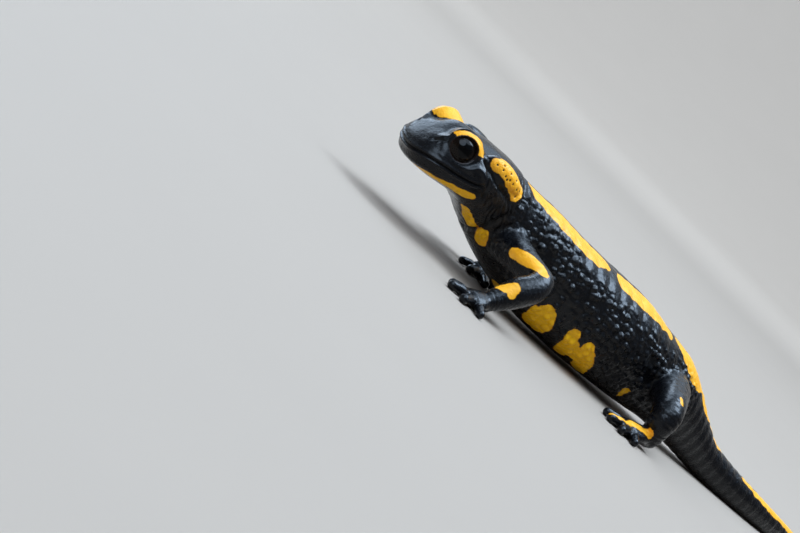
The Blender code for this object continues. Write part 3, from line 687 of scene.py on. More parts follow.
# Along the back: (distance from the snout, angle round the body, radius).
LEFT_BACK = (
    ((26.2, 74, 1.4), (28.5, 70, 2.0), (34.0, 70, 2.4), (41.0, 68, 2.9), (47.5, 69, 2.8), (52.0, 74, 2.0)),
    ((58.6, 68.5, 2.5), (61.2, 69.5, 2.9), (66.0, 70.5, 3.0), (71.5, 70.5, 2.8), (75.0, 72, 2.6)),
    ((80.8, 73, 1.5), (83.2, 67, 2.4), (86.5, 62, 2.9), (90.0, 62, 2.6), (92.4, 67, 1.8)),
    ((94.6, 70, 1.3), (97.0, 66, 1.8), (100.5, 68, 1.5), (103.0, 74, 1.0)),
    ((104.0, 76, 0.8), (109.0, 74, 1.0), (113.0, 78, 0.7)),
    ((124.0, 74, 0.7), (131.0, 70, 1.2), (142.0, 66, 1.25), (153.0, 68, 1.0), (162.0, 72, 0.6)),
)
RIGHT_BACK = (
    ((25.2, 111, 1.3), (29.0, 116, 2.0), (36.0, 119, 2.3), (43.0, 118, 2.4), (46.5, 114, 1.7)),
    ((51.0, 112, 1.6), (55.0, 118, 2.4), (62.0, 119, 2.6), (69.0, 117, 2.4), (73.5, 113, 1.7)),
    ((78.0, 112, 1.5), (82.0, 119, 2.2), (86.0, 118, 2.2), (89.0, 112, 1.4)),
    ((94.5, 108, 1.2), (98.0, 112, 1.5), (103.0, 108, 1.1)),
    ((108.0, 106, 0.8), (114.0, 108, 1.0), (119.0, 104, 0.7)),
    ((129.0, 108, 0.7), (137.0, 112, 1.2), (148.0, 112, 1.1), (157.0, 108, 0.7)),
)
RIGHT_FLANK = (
    ((44.0, 192, 1.5), (46.5, 205, 2.0), (47.0, 219, 1.8)),
    ((56.0, 188, 1.4), (58.5, 198, 1.8), (59.0, 212, 2.1), (62.0, 222, 1.7)),
    ((68.5, 196, 1.2), (70.5, 210, 1.6)),
    ((97.0, 186, 1.0), (100.0, 194, 1.0)),
)
BELLY = (
    ((38.0, -72, 1.1), (40.0, -78, 1.3)),
    ((67.0, -104, 1.4), (70.0, -98, 1.1)),
    ((86.0, -84, 1.6), (89.0, -92, 1.3)),
)
RIGHT_LIMBS = {
    "upper_arm": ((-11.4, 31.6, 14.1, 1.2), (-14.0, 34.8, 13.5, 1.5), (-16.6, 39.0, 12.6, 1.2)),
    "forearm": ((-19.4, 45.2, 8.8, 1.1), (-18.9, 46.9, 6.4, 1.0)),
    "hand": ((-12.2, 45.8, 3.6, 0.9), (-11.0, 44.6, 3.0, 0.8)),
    "thigh": ((-11.2, 83.6, 15.1, 1.2), (-14.8, 82.8, 14.2, 1.6), (-18.2, 83.2, 12.9, 1.2)),
    "shank": ((-25.4, 87.6, 8.0, 1.0), (-25.8, 89.6, 5.8, 0.9)),
    "foot": ((-24.2, 88.4, 3.7, 1.0), (-25.4, 85.6, 3.0, 1.3), (-26.4, 82.0, 2.2, 0.9)),
}


def mirrored(path, shift=(0.0, 0.0, 0.0)):
    return [(-p[0] + shift[0], p[1] + shift[1], p[2] + shift[2], *p[3:]) for p in path]


def ring_stroke(path):
    """A stroke given by distance and angle, followed along the body's surface."""
    path = np.array(path, float)
    steps = np.linspace(0, len(path) - 1, (len(path) - 1) * 6 + 1)
    knots = np.arange(len(path))
    out = []
    for u in steps:
        s, a, r = (smooth_through(knots, path[:, k])(u) if len(path) > 2 else np.interp(u, knots, path[:, k]) for k in range(3))
        out.append((*on_body(float(s), float(a)), float(r)))
    return out


# ---------------------------------------------------------------- building the skin
def eye_axes(side):
    centre = np.array(head_point(side * EYE[0], EYE[1], EYE[2]))
    look = np.array(head_vector(side * EYE_LOOK[0], EYE_LOOK[1], EYE_LOOK[2]))
    up = np.array(head_vector(0.0, 0.0, 1.0))
    up = up - look * (up @ look)
    up /= np.linalg.norm(up)
    return centre, look, up


def opening(phi):
    """Radius of the lids' opening, across the direction the eye looks; phi is 0 at the top, positive to the rear."""
    return 2.40 + 0.24 * np.sin(np.radians(phi)) ** 2


def shape_eyes(points, marks):
    """Opens the lids over each eyeball and folds the skin round them."""
    for side in (1, -1):
        centre, look, up = eye_axes(side)
        across = np.cross(look, up)
        v = points - centre
        out = v @ look
        a, b = v @ across, v @ up
        rho = np.hypot(a, b)
        near = (out > -0.6) & (rho < 6.0) & (out < 6.5)
        out, rho = out[near], rho[near]
        phi = np.degrees(np.arctan2(a[near], b[near])) * (-side)
        edge = opening(phi)
        past = rho - edge  # mm outside the rim, seen along the look direction
        high = np.cos(np.radians(phi))  # 1 above the eye, -1 below it
        above = ease(high * 0.9 + 0.35)
        ball = np.sqrt(np.maximum(EYE_RADIUS**2 - np.minimum(rho, edge) ** 2, 0.0))
        rim = ball + 0.07
        # upper lid: one soft roll; lower lid: a thin roll, a margin, then the slope up to the cheek
        roll_above = np.sqrt(np.clip(1 - (1 - np.clip(past / 0.62, 0, 1)) ** 2, 0, 1))
        roll_below = 0.34 * np.sqrt(np.clip(1 - (1 - np.clip(past / 0.36, 0, 1)) ** 2, 0, 1)) + 0.66 * ease((past - 0.1) / 2.0)
        share = roll_below + (roll_above - roll_below) * above
        top = np.maximum(out, rim * 0.6)
        new = rim + (top - rim) * share
        # a fold outside the upper lid and behind the eye
        new = new - 0.08 * np.exp(-(((past - 1.75) / 0.34) ** 2)) * ease(high * 0.8 + 0.45)
        hidden = np.sqrt(np.maximum(EYE_RADIUS**2 - rho**2, 0.0)) - 0.30
        new = np.where(past < 0, hidden + (rim - hidden) * ease((past + 0.30) / 0.30), new)
        reach = ease((2.7 - past) / 1.3) * ease((out + 0.6) / 0.8)
        shifted = out + (new - out) * np.where(past < 0.3, 1.0, reach)
        points[near] += look * (shifted - out)[:, None]
        full = np.full(len(points), 9.0)
        full[near] = np.where(out > 0.0, past, 9.0)
        marks["rim"] = np.minimum(marks["rim"], full)
        if side > 0:
            ends = np.minimum((phi + 54.0) * 0.055, (85.0 - phi) * 0.10)
            yellow = np.minimum(np.minimum(past - 0.28, 1.16 + 0.80 * ease((phi - 5.0) / 60.0) - past), ends)
        else:
            ends = np.minimum(phi + 64.0, 96.0 - phi) * 0.055
            yellow = np.minimum(np.minimum(np.minimum(past - 0.20, 2.3 - past), ends), (out + 0.3) * 2.0)
        full = np.full(len(points), -9.0)
        full[near] = np.where(out > -0.4, yellow, -9.0)
        marks["mark"] = np.maximum(marks["mark"], full)
    return points


def joined(key, a, b):
    """Numbers each run of touching faces that share a key; a and b are the faces on the two sides of each edge."""
    same = key[a] == key[b]
    p, q = a[same], b[same]
    label = np.arange(len(key))
    while True:
        low = np.minimum(label[p], label[q])
        new = label.copy()
        for at in (p, q, label[p], label[q]):
            np.minimum.at(new, at, low)
        while True:
            jumped = new[new]
            if np.array_equal(jumped, new):
                break
            new = jumped
        if np.array_equal(new, label):
            return np.unique(label, return_inverse=True)[1]
        label = new


def lay_out(mesh, base, normal, here, average):
    """Lays the skin out flat for the bake: head, trunk, tail and limbs, each parted by the way it faces."""
    for _ in range(16):
        normal = average(normal)
    count = np.empty(len(mesh.polygons), np.int32)
    mesh.polygons.foreach_get("loop_total", count)
    corner = np.empty(len(mesh.loops), np.int32)
    mesh.loops.foreach_get("vertex_index", corner)
    edge = np.empty(len(mesh.loops), np.int32)
    mesh.loops.foreach_get("edge_index", edge)
    face = np.repeat(np.arange(len(count)), count)

    def per_face(values):
        return np.bincount(face, values[corner], len(count)) / count

    along = per_face(here.s)
    part = np.where(along < 24.0, 0, np.where(along < 91.0, 1, 2))
    on_leg = per_face(here.leg) > 0.5
    nearest = np.argmin(np.stack([per_face(leg[0]) for leg in here.legs.values()]), 0)
    hand = np.zeros(len(count), bool)
    for k, (_, t, _, end, _) in enumerate(here.legs.values()):
        on = on_leg & (nearest == k)
        part[on] = 3 + 2 * k
        last = on & (per_face(t) > end - 1.5)
        part[last] = 4 + 2 * k
        hand |= last
    axes = np.array(((1, 0, 0), (-1, 0, 0), (0, 0, 1), (0, 0, -1), (0, 1, 0), (0, -1, 0)), float)
    score = np.stack([per_face(normal[:, k]) for k in range(3)], 1) @ axes.T
    score[np.ix_(hand, (0, 1, 4, 5))] = -9.0
    score[np.ix_(part <= 2, (4,))] = -9.0
    score[np.ix_((part == 1) | (part == 2), (5,))] = -9.0
    key = part * 8 + np.argmax(score, axis=1)

    order = np.argsort(edge, kind="stable")
    shared = edge[order][1:] == edge[order][:-1]
    a, b = face[order][:-1][shared], face[order][1:][shared]
    for _ in range(5):
        chart = joined(key, a, b)
        small = np.bincount(chart)[chart] < 300
        if not small.any():
            break
        inner = np.concatenate((a[small[a] & ~small[b]], b[small[b] & ~small[a]]))
        outer = np.concatenate((b[small[a] & ~small[b]], a[small[b] & ~small[a]]))
        votes, number = np.unique(chart[inner] * 96 + key[outer], return_counts=True)
        taken = np.full(chart.max() + 1, -1)
        for vote in votes[np.argsort(number, kind="stable")]:
            taken[vote // 96] = vote % 96
        key = np.where(small & (taken[chart] >= 0), taken[chart], key)
    chart = joined(key, a, b)[face]

    way = (key % 8)[face]
    density = np.array((2.0, 1.0, 0.85) + (0.95, 1.1) * 4)[(key // 8)[face]]
    x, y, z = base[corner].T
    flat = np.stack((np.where(way < 4, y, x), np.where((way == 2) | (way == 3), x, z)), 1) * density[:, None]
    flat[:, 0] *= np.where((way == 1) | (way == 2) | (way == 4), -1.0, 1.0)  # so that no chart is a mirror image
    low = np.full((chart.max() + 1, 2), 1e9)
    high = -low
    np.minimum.at(low, chart, flat)
    np.maximum.at(high, chart, flat)
    margin = 0.4
    size = high - low + margin
    width = max(float(size[:, 0].max()) + margin, math.sqrt(float(size.prod(1).sum())))
    place = np.zeros_like(size)
    while True:
        left, bottom, shelf = margin, margin, 0.0
        for c in np.argsort(-size[:, 1], kind="stable"):
            if left + size[c, 0] > width:
                left, bottom, shelf = margin, bottom + shelf, 0.0
            place[c] = left, bottom
            left += size[c, 0]
            shelf = max(shelf, size[c, 1])
        if bottom + shelf <= width:
            break
        width *= 1.01
    layer = mesh.uv_layers.new(name="OFBake")
    layer.data.foreach_set("uv", ((flat - low[chart] + place[chart]) / width).astype(np.float32).ravel())
    print("charts", len(size), "map width mm", round(width, 1))


def build_skin():
    surface = Surface(base_form())
    surface.smooth_keeping(6)
    surface.smooth(3)
    # the tip of the snout hangs a little
    front = in_head(surface.points)
    tip = ease((5.0 - front[:, 1]) / 5.0)
    chin = tip * ease((MOUTH_Z(front[:, 1]) - 0.2 - front[:, 2]) / 1.8)
    surface.points = surface.points + np.outer(tip, (0.0, 0.55, -0.75)) + np.outer(chin, (0.0, -0.34, -0.28))
    here = Places(surface.points)

    # Soft webs of skin where the legs leave the body, and behind the head's glands.
    root = np.exp(-(((here.body_out - here.leg_out) / 1.9) ** 2))
    root *= ease((np.abs(here.points[:, 0]) - 5.0) / 2.0)
    root[here.points[:, 1] < 24] = 0
    surface.smooth(60, np.clip(root * 1.3, 0, 1))
    head = here.head
    gland_near = inside(head * (1, 1, 1), [(5.8, 14.0, 8.5, 3.4), (6.4, 19.5, 7.0, 4.0), (6.4, 25.0, 4.5, 3.6)])
    gland_near = np.maximum(gland_near, inside(head, mirrored([(5.8, 14.0, 8.5, 3.4), (6.4, 19.5, 7.0, 4.0), (6.4, 25.0, 4.5, 3.6)])))
    surface.smooth(20, ease(gland_near / 1.5))
    lid_near = np.full(surface.count, 9.0)
    for side in (1, -1):
        centre, _, _ = eye_axes(side)
        lid_near = np.minimum(lid_near, np.linalg.norm(surface.points - centre, axis=1) - 4.2)
    surface.smooth(6, ease(1 - np.abs(lid_near) / 1.4))

    points = surface.points
    here = Places(points)
    head = here.head
    normal = surface.normals()
    side_x = np.abs(points[:, 0])
    both = np.stack([side_x, points[:, 1], points[:, 2]], 1)
    both_head = np.stack([side_x, head[:, 1], head[:, 2]], 1)
    base, base_normal = points.copy(), normal
    s, rise = here.s, here.rise
    on_head = ease((25.5 - head[:, 1]) / 3.0)
    # a mask of painted shade: it darkens the colour in the skin's grooves, pits and the gaps between granules, where
    # shade falls, and also roughens them
    crease_shade = np.zeros(surface.count)
    height = np.zeros(surface.count)

    def cut_line(path, depth, width, where=both_head, dark=1.0, lip=0.0):
        line = groove(where, path, width)
        height[:] -= depth * line
        if lip:
            height[:] += lip * (groove(where, path, width * 2.6) - line)
        # each cut line also paints shade along its groove, as much as dark says
        crease_shade[:] = np.maximum(crease_shade, line * dark)

    # --- mouth
    across_mouth = head[:, 2] - MOUTH_Z(head[:, 1])
    along = ease((MOUTH_END - head[:, 1]) / 1.2) * (head[:, 2] > 0.5) * (head[:, 2] < 8)
    outer = ease((side_x - 0.0) / 0.5 + 1)
    slit = np.exp(-((across_mouth / 0.2) ** 2)) * along * outer
    height -= 0.38 * slit
    # painted shade along the slit of the mouth
    crease_shade = np.maximum(crease_shade, np.exp(-((across_mouth / 0.15) ** 2)) * along)
    height += 0.20 * np.exp(-(((across_mouth - 0.50) / 0.34) ** 2)) * along
    height += 0.16 * np.exp(-(((across_mouth + 0.50) / 0.24) ** 2)) * along
    height -= 0.08 * np.exp(-(((across_mouth + 1.15) / 0.40) ** 2)) * along * ease((head[:, 1] - 1.5) / 2)
    # the corner of the mouth turns down and softens
    cut_line(((9.6, 13.6, 4.0, 1.0), (9.65, 14.4, 4.0, 0.8), (9.5, 15.0, 3.4, 0.4)), 0.28, 0.3)

    # --- nostrils
    pit = np.linalg.norm(both_head - NOSTRIL, axis=1)
    height -= 0.42 * np.exp(-((pit / 0.24) ** 2))
    height += 0.05 * np.exp(-(((pit - 0.50) / 0.2) ** 2))
    # painted shade in the nostril pits
    crease_shade = np.maximum(crease_shade, np.exp(-((pit / 0.22) ** 2)))

    # --- folds of the head
    cut_line(CANTHUS, 0.26, 0.30, lip=0.05)
    cut_line(JOWL_BACK, 0.45, 0.42, lip=0.14)
    cut_line(GLAND_FOOT, 0.50, 0.62, lip=0.12)
    cut_line(GLAND_TOP, 0.16, 0.5, dark=0.3)
    cut_line(NECK_FOLD, 0.50, 0.7, lip=0.2)
    cut_line(GULAR, 0.60, 0.65, lip=0.22)
    # the ridge of the cheek, round below the eye, and the jaw muscle under it
    height += 0.34 * groove(both_head, CHEEK_RIDGE, 0.55)
    height += 0.20 * np.exp(-(np.linalg.norm((both_head - (9.2, 12.2, 5.2)) / (2.0, 2.1, 1.4), axis=1) ** 2))
    height += 0.30 * band(head[:, 1], 15.0, 27.0, 5.0) * ease((here.z - 2.0) / 3.0) * ease((6.5 - side_x) / 4.0) * here.torso
    # a faint leathery grain on the head
    height += 0.014 * on_head * cloud(points, 0.5, 71) + 0.016 * on_head * cloud(points, 1.3, 73)
    height += 0.75 * np.exp(-(np.linalg.norm((head - (-0.6, 8.6, 10.2)) / (2.6, 4.6, 1.6), axis=1) ** 2))
    # the flat between eye and nostril
    height -= 0.20 * np.exp(-(np.linalg.norm((both_head - (6.6, 3.9, 6.2)) / (2.0, 1.6, 1.2), axis=1) ** 2))
    # the snout's brow over the nostrils
    height += 0.12 * np.exp(-(np.linalg.norm((both_head - (3.6, 3.4, 8.0)) / (1.8, 2.2, 1.0), axis=1) ** 2))

    # --- pores of the glands, and rows of pores along the back
    pore = np.zeros(surface.count)
    for p in PORES:
        d = np.linalg.norm(both_head - p, axis=1)
        # each pore sits where its line meets the skin
        d = np.hypot(np.abs(both_head[:, 1] - p[1]), np.abs((both_head[:, 2] - p[2]) * 0.8 - (side_x - p[0]) * 0.6)) + (d > 2.2) * 9
        pore = np.maximum(pore, np.exp(-((d / 0.26) ** 2)))
    height -= 0.22 * pore
    for row, every, start in ((79.0, 3.1, 30.0), (70.0, 3.4, 31.5)):
        phase = (s - start) / every
        step_at = np.round(phase)
        dy = (phase - step_at) * every
        wobble = 4.0 * np.sin(step_at * 2.4)
        dx = (rise - row - wobble) * np.radians(1.0) * 11.0
        spot = np.exp(-((dx**2 + dy**2) / 0.3**2)) * band(s, 29, 88, 3) * here.torso
        height -= 0.10 * spot
        pore = np.maximum(pore, 0.5 * spot)

    # --- folds of the neck
    wave = np.sin((head[:, 1] * 1.0 + 0.25 * head[:, 2] + 0.9 * cloud(points, 2.2, 5)) * 2 * math.pi / 1.05)
    throat = band(head[:, 1], 15.6, 25.0, 3.0) * ease((30 - rise) / 30) * here.torso
    height += 0.085 * wave * throat * ease((side_x - 3.5) / 3.0)
    crinkle = cloud(points, 0.75, 9)
    height += 0.06 * crinkle * throat

    # --- ribs' grooves along the trunk
    rib = (s - 32.0) / 3.9
    side_fold = np.cos((rib + 0.03 * cloud(points, 6, 3)) * 2 * math.pi)
    ribs = band(s, 34, 79, 5) * (0.25 + 0.75 * band(rise, 8, 66, 22)) * ease((rise + 62) / 20) * here.torso
    height += 0.15 * ribs * (np.abs(side_fold * 0.5 + 0.5) ** 0.7 - 0.55)
    # painted shade in the grooves between the ribs
    crease_shade = np.maximum(crease_shade, 0.5 * ribs * ease((-side_fold - 0.8) / 0.2))
    # the furrow along the middle of the back
    height -= 0.22 * np.exp(-((here.x / 0.9) ** 2)) * (here.z > 0) * band(s, 24, 96, 6) * here.torso

    # --- granules
    first, second, tone = beads(points, 1.58, 11, 0.62)
    bead = np.clip(1 - (first / 0.60) ** 2, 0, 1)
    small, small_second, _ = beads(points, 0.8, 23)
    grain = np.clip(1 - (small / 0.62) ** 2, 0, 1)
    coarse = band(s, 25, 93, 6) * band(rise, -50, 50, 24) * here.torso
    coarse *= 0.8 + 0.2 * cloud(points, 7, 31)
    # the high flank stays smooth in soft folds
    high_flank = band(rise, 36, 80, 16) * band(s, 43, 80, 6)
    coarse *= 1 - 0.85 * high_flank
    fine = (0.35 + 0.65 * band(rise, -60, 70, 30)) * band(s, 22.5, 150, 6) * (1 - 0.35 * high_flank)
    height += 0.80 * coarse * (bead * (0.35 + 1.0 * tone) - 0.40)
    height += 0.08 * fine * (grain - 0.4) * (here.torso * 0.8 + 0.12)
    # painted shade in the gaps between the granules
    crease_shade = np.maximum(crease_shade, 0.35 * coarse * ease((0.12 - (second - first)) / 0.12))
    back_soft = band(s, 25, 100, 6) * ease((rise - 45) / 20) * here.torso
    height += 0.07 * back_soft * cloud(points, 1.7, 41)

    # --- legs: folds at each joint, soft muscle and small bumps
    for name, (out, t, r, end, foot) in here.legs.items():
        on = here.leg * ease((1.4 - out) / 0.8)
        arm = "arm" in name
        bend = 19.0 if arm else 20.0
        wobble = 0.35 * cloud(points, 1.6, 51)
        rings = np.sin((t + wobble) * 2 * math.pi / 1.15)
        near_bend = np.exp(-(((t - bend - 1.5) / 3.0) ** 2))
        near_wrist = np.exp(-(((t - end + 1.0) / (2.6 if arm else 4.2)) ** 2))
        height += (0.08 if arm else 0.12) * rings * on * np.clip(near_bend * (0.3 if arm else 0.8) + near_wrist, 0, 1) * (0.6 + 0.6 * cloud(points, 2.0, 57))
        # painted shade in the ring folds near the wrists and ankles
        crease_shade = np.maximum(crease_shade, 0.35 * ease((-rings - 0.55) / 0.45) * on * near_wrist)
        root = np.exp(-((np.clip(t - 8.0, 0, 99) / 5.0) ** 2))
        height += 0.16 * on * root * (bead - 0.4)
        height += 0.035 * on * (grain - 0.4)

    # --- tail: faint rings
    ring = np.cos((s - 92.0) / 3.0 * 2 * math.pi)
    height += 0.07 * ring * band(s, 94, 168, 10) * np.clip(HALF(s) / 5, 0.2, 1) * here.torso

    # nothing coarse under the soles
    height *= ease((points[:, 2] - 0.1) / 0.9) * 0.9 + 0.1
    points = points + normal * height[:, None]

    marks = {"rim": np.full(surface.count, 9.0), "mark": np.full(surface.count, -9.0)}
    points = shape_eyes(points, marks)

    # --- stripes and patches, by distance
    mark = marks["mark"]
    wander = 0.30 * cloud(points, 2.1, 61) + 0.16 * cloud(points, 0.9, 67)
    patches = []
    for path in HEAD_MARKS.values():
        patches.append(inside(head, path))
    patches.append(inside(head, ((-4.4, 7.5, 10.2, 2.1), (-4.2, 8.4, 10.5, 2.5), (-4.1, 9.6, 10.6, 2.8), (-4.3, 11.0, 10.2, 2.4))))
    patches.append(inside(head, mirrored(HEAD_MARKS["gland"], (-0.7, 0.4, -0.7))))
    patches.append(inside(head, mirrored(HEAD_MARKS["jaw"][2:], (0.0, -0.6, 0.0))))
    for path in BODY_MARKS.values():
        patches.append(inside(points, path))
    patches.append(inside(points, mirrored(BODY_MARKS["throat"], (0.3, 1.2, 0.1))))
    for path in LEFT_BACK + RIGHT_BACK + RIGHT_FLANK + BELLY:
        patches.append(inside(points, ring_stroke(path)))
    for path in RIGHT_LIMBS.values():
        patches.append(inside(points, path))
    # neighbouring strokes run together softly
    total = np.zeros(surface.count)
    for p in patches:
        total += np.exp(np.clip(p, -6, 6) * 4.0)
    blended = np.log(np.maximum(total, 1e-12)) / 4.0
    mark = np.maximum(mark, blended + wander)
    mark = np.clip(mark, -3, 3)

    points[:, 2] = np.where(points[:, 2] < 0.35, 0.35 * np.exp((points[:, 2] - 0.35) / 0.35), points[:, 2])
    lowest = points[:, 2].min()
    resting = ease((0.5 - points[:, 2]) / 0.5)
    points[:, 2] -= np.minimum(lowest, points[:, 2]) * resting
    surface.points = points

    moved = (points + SHIFT) * MM
    mesh = surface.mesh
    mesh.vertices.foreach_set("co", moved.astype(np.float32).ravel())
    for name, values in (
        ("mark", mark),
        ("rim", np.clip(marks["rim"], -1, 9)),
        ("pore", pore),
        # this mask carries the painted shade of the grooves and pits into the material
        ("crease_shade", np.clip(crease_shade, 0, 1)),
        ("brown", np.clip(throat * 0.9 + 0.5 * band(rise, -90, -40, 20) * here.torso, 0, 1)),
        ("low", np.clip(band(rise, -90, 5, 30) * here.torso, 0, 1)),
    ):
        attribute = mesh.attributes.new(name, "FLOAT", "POINT")
        attribute.data.foreach_set("value", values.astype(np.float32))
    lay_out(mesh, base, base_normal, here, surface.average)
    mesh.update()
    mesh.shade_smooth()
    mesh.name = "skin"
    skin = bpy.data.objects.new("skin", mesh)
    bpy.context.scene.collection.objects.link(skin)
    return skin


def eye_ball(name, side):
    centre, look, up = eye_axes(side)
    mesh = bpy.data.meshes.new(name)
    bm = bmesh.new()
    bmesh.ops.create_uvsphere(bm, u_segments=96, v_segments=64, radius=EYE_RADIUS)
    # the clear front stands a little proud of the ball
    for v in bm.verts:
        alpha = math.acos(max(-1.0, min(1.0, v.co.z / EYE_RADIUS)))
        v.co *= 1 + 0.022 * math.exp(-((alpha / 0.62) ** 2))
    across = np.cross(up, look)
    turn = Matrix((Vector(across), Vector(up), Vector(look))).transposed().to_4x4()
    turn.translation = Vector(centre + SHIFT)
    bmesh.ops.transform(bm, verts=bm.verts, matrix=Matrix.Scale(MM, 4) @ turn)
    bmesh.ops.recalc_face_normals(bm, faces=bm.faces)
    bm.to_mesh(mesh)
    bm.free()
    mesh.shade_smooth()
    away = np.empty(len(mesh.vertices) * 3)
    mesh.vertices.foreach_get("co", away)
    away = away.reshape(-1, 3) / MM - SHIFT - centre
    away /= np.linalg.norm(away, axis=1)[:, None]
    attribute = mesh.attributes.new("off_axis", "FLOAT", "POINT")
    attribute.data.foreach_set("value", np.degrees(np.arccos(np.clip(away @ look, -1, 1))).astype(np.float32))
    obj = bpy.data.objects.new(name, mesh)
    bpy.context.scene.collection.objects.link(obj)
    return obj


# ---------------------------------------------------------------- materials
class Nodes:
    """Small helper for building a material's nodes."""

    def __init__(self, name):
        self.material = bpy.data.materials.new(name)
        self.material.use_nodes = True
        self.tree = self.material.node_tree
        self.shader = self.tree.nodes["Principled BSDF"]
        self.place = self.add("ShaderNodeTexCoord").outputs["Object"]

    def add(self, kind, **settings):
        node = self.tree.nodes.new(kind)
        for key, value in settings.items():
            setattr(node, key, value)
        return node

    def put(self, socket, value):
        if isinstance(value, bpy.types.NodeSocket):
            self.tree.links.new(value, socket)
        else:
            socket.default_value = value

    def math(self, operation, a, b=0.0, c=0.0, clamp=False):
        node = self.add("ShaderNodeMath", operation=operation, use_clamp=clamp)
        for socket, value in zip(node.inputs, (a, b, c)):
            self.put(socket, value)
        return node.outputs[0]

    def ramp(self, value, low, high, to_low=0.0, to_high=1.0, smooth=True):
        node = self.add("ShaderNodeMapRange", interpolation_type="SMOOTHSTEP" if smooth else "LINEAR")
        for socket, v in zip(node.inputs[:5], (value, low, high, to_low, to_high)):
            self.put(socket, v)
        return node.outputs[0]

    def mix(self, factor, a, b):
        node = self.add("ShaderNodeMix", data_type="RGBA")
        self.put(node.inputs[0], factor)
        self.put(node.inputs[6], a)
        self.put(node.inputs[7], b)
        return node.outputs[2]

    def attribute(self, name):
        return self.add("ShaderNodeAttribute", attribute_name=name).outputs["Fac"]

    def noise(self, size_mm, detail=2.0, rough=0.5):
        node = self.add("ShaderNodeTexNoise")
        self.put(node.inputs["Vector"], self.place)
        node.inputs["Scale"].default_value = 1 / (size_mm * MM)
        node.inputs["Detail"].default_value = detail
        node.inputs["Roughness"].default_value = rough
        return node.outputs["Fac"]

    def cells(self, size_mm, feature="F1"):
        node = self.add("ShaderNodeTexVoronoi", feature=feature)
        self.put(node.inputs["Vector"], self.place)
        node.inputs["Scale"].default_value = 1 / (size_mm * MM)
        return node.outputs["Distance"]

    def bump(self, height, distance_mm, strength=1.0, under=None):
        node = self.add("ShaderNodeBump")
        node.inputs["Strength"].default_value = strength
        node.inputs["Distance"].default_value = distance_mm * MM
        self.put(node.inputs["Height"], height)
        if under is not None:
            self.put(node.inputs["Normal"], under)
        return node.outputs["Normal"]


def skin_material():
    n = Nodes("wet_skin")
    mark, rim, pore, crease_shade, brown = (n.attribute(k) for k in ("mark", "rim", "pore", "crease_shade", "brown"))
    edge_noise = n.math("MULTIPLY", n.math("SUBTRACT", n.noise(0.5, 3.0), 0.5), 0.34)
    edge = n.math("ADD", mark, edge_noise)
    yellow_on = n.ramp(edge, -0.06, 0.10)
    black = n.mix(n.noise(3.5, 4.0), (0.0021, 0.0024, 0.0032, 1), (0.0048, 0.0050, 0.0062, 1))
    black = n.mix(n.math("MULTIPLY", brown, n.ramp(n.noise(1.6, 3.0), 0.35, 0.7)), black, (0.020, 0.0145, 0.0105, 1))
    # painted shade: the black is darker in the grooves, pits and gaps between granules
    black = n.mix(crease_shade, black, (0.0022, 0.0020, 0.0020, 1))
    warm = n.mix(n.ramp(n.noise(2.6, 3.0), 0.3, 0.7), (0.94, 0.435, 0.030, 1), (0.89, 0.37, 0.016, 1))
    warm = n.mix(n.math("MULTIPLY", n.attribute("low"), 0.85), warm, (0.95, 0.52, 0.008, 1))
    warm = n.mix(n.ramp(edge, 0.30, 0.02), warm, (0.78, 0.33, 0.008, 1))
    warm = n.mix(n.ramp(edge, 0.10, -0.03), warm, (0.22, 0.075, 0.004, 1))
    speck = n.ramp(n.cells(0.9), 0.10, 0.02)
    warm = n.mix(n.math("MULTIPLY", speck, 0.35), warm, (0.45, 0.13, 0.004, 1))
    # painted shade: the yellow turns dark orange-brown in the grooves
    warm = n.mix(n.math("MULTIPLY", crease_shade, 0.55), warm, (0.28, 0.09, 0.004, 1))
    colour = n.mix(yellow_on, black, warm)
    colour = n.mix(n.ramp(pore, 0.35, 0.75), colour, (0.012, 0.006, 0.003, 1))
    # the dark brown margin of the lids
    colour = n.mix(n.ramp(rim, 0.34, 0.12), colour, (0.011, 0.0055, 0.0040, 1))
    n.put(n.shader.inputs["Base Color"], colour)

    wet = n.noise(1.4, 3.0)
    rough = n.ramp(wet, 0.3, 0.75, 0.24, 0.40)
    rough = n.math("ADD", rough, n.math("MULTIPLY", crease_shade, 0.12))
    n.put(n.shader.inputs["Roughness"], rough)
    n.shader.inputs["IOR"].default_value = 1.38
    n.shader.inputs["Specular IOR Level"].default_value = 0.11
    n.put(n.shader.inputs["Coat Weight"], n.ramp(mark, -0.1, 0.3, 0.72, 0.42))
    n.put(n.shader.inputs["Coat Roughness"], n.ramp(mark, -0.1, 0.3, 0.21, 0.32))
    n.shader.inputs["Coat IOR"].default_value = 1.30

    leather = n.math("SUBTRACT", 1.0, n.cells(0.32))
    fine = n.math("ADD", n.math("MULTIPLY", leather, 0.65), n.math("MULTIPLY", n.noise(0.14, 2.0), 0.35))
    one = n.bump(fine, 0.125, 0.9)
    two = n.bump(n.noise(0.7, 2.0), 0.06, 0.5, one)
    n.put(n.shader.inputs["Normal"], two)
    return n.material


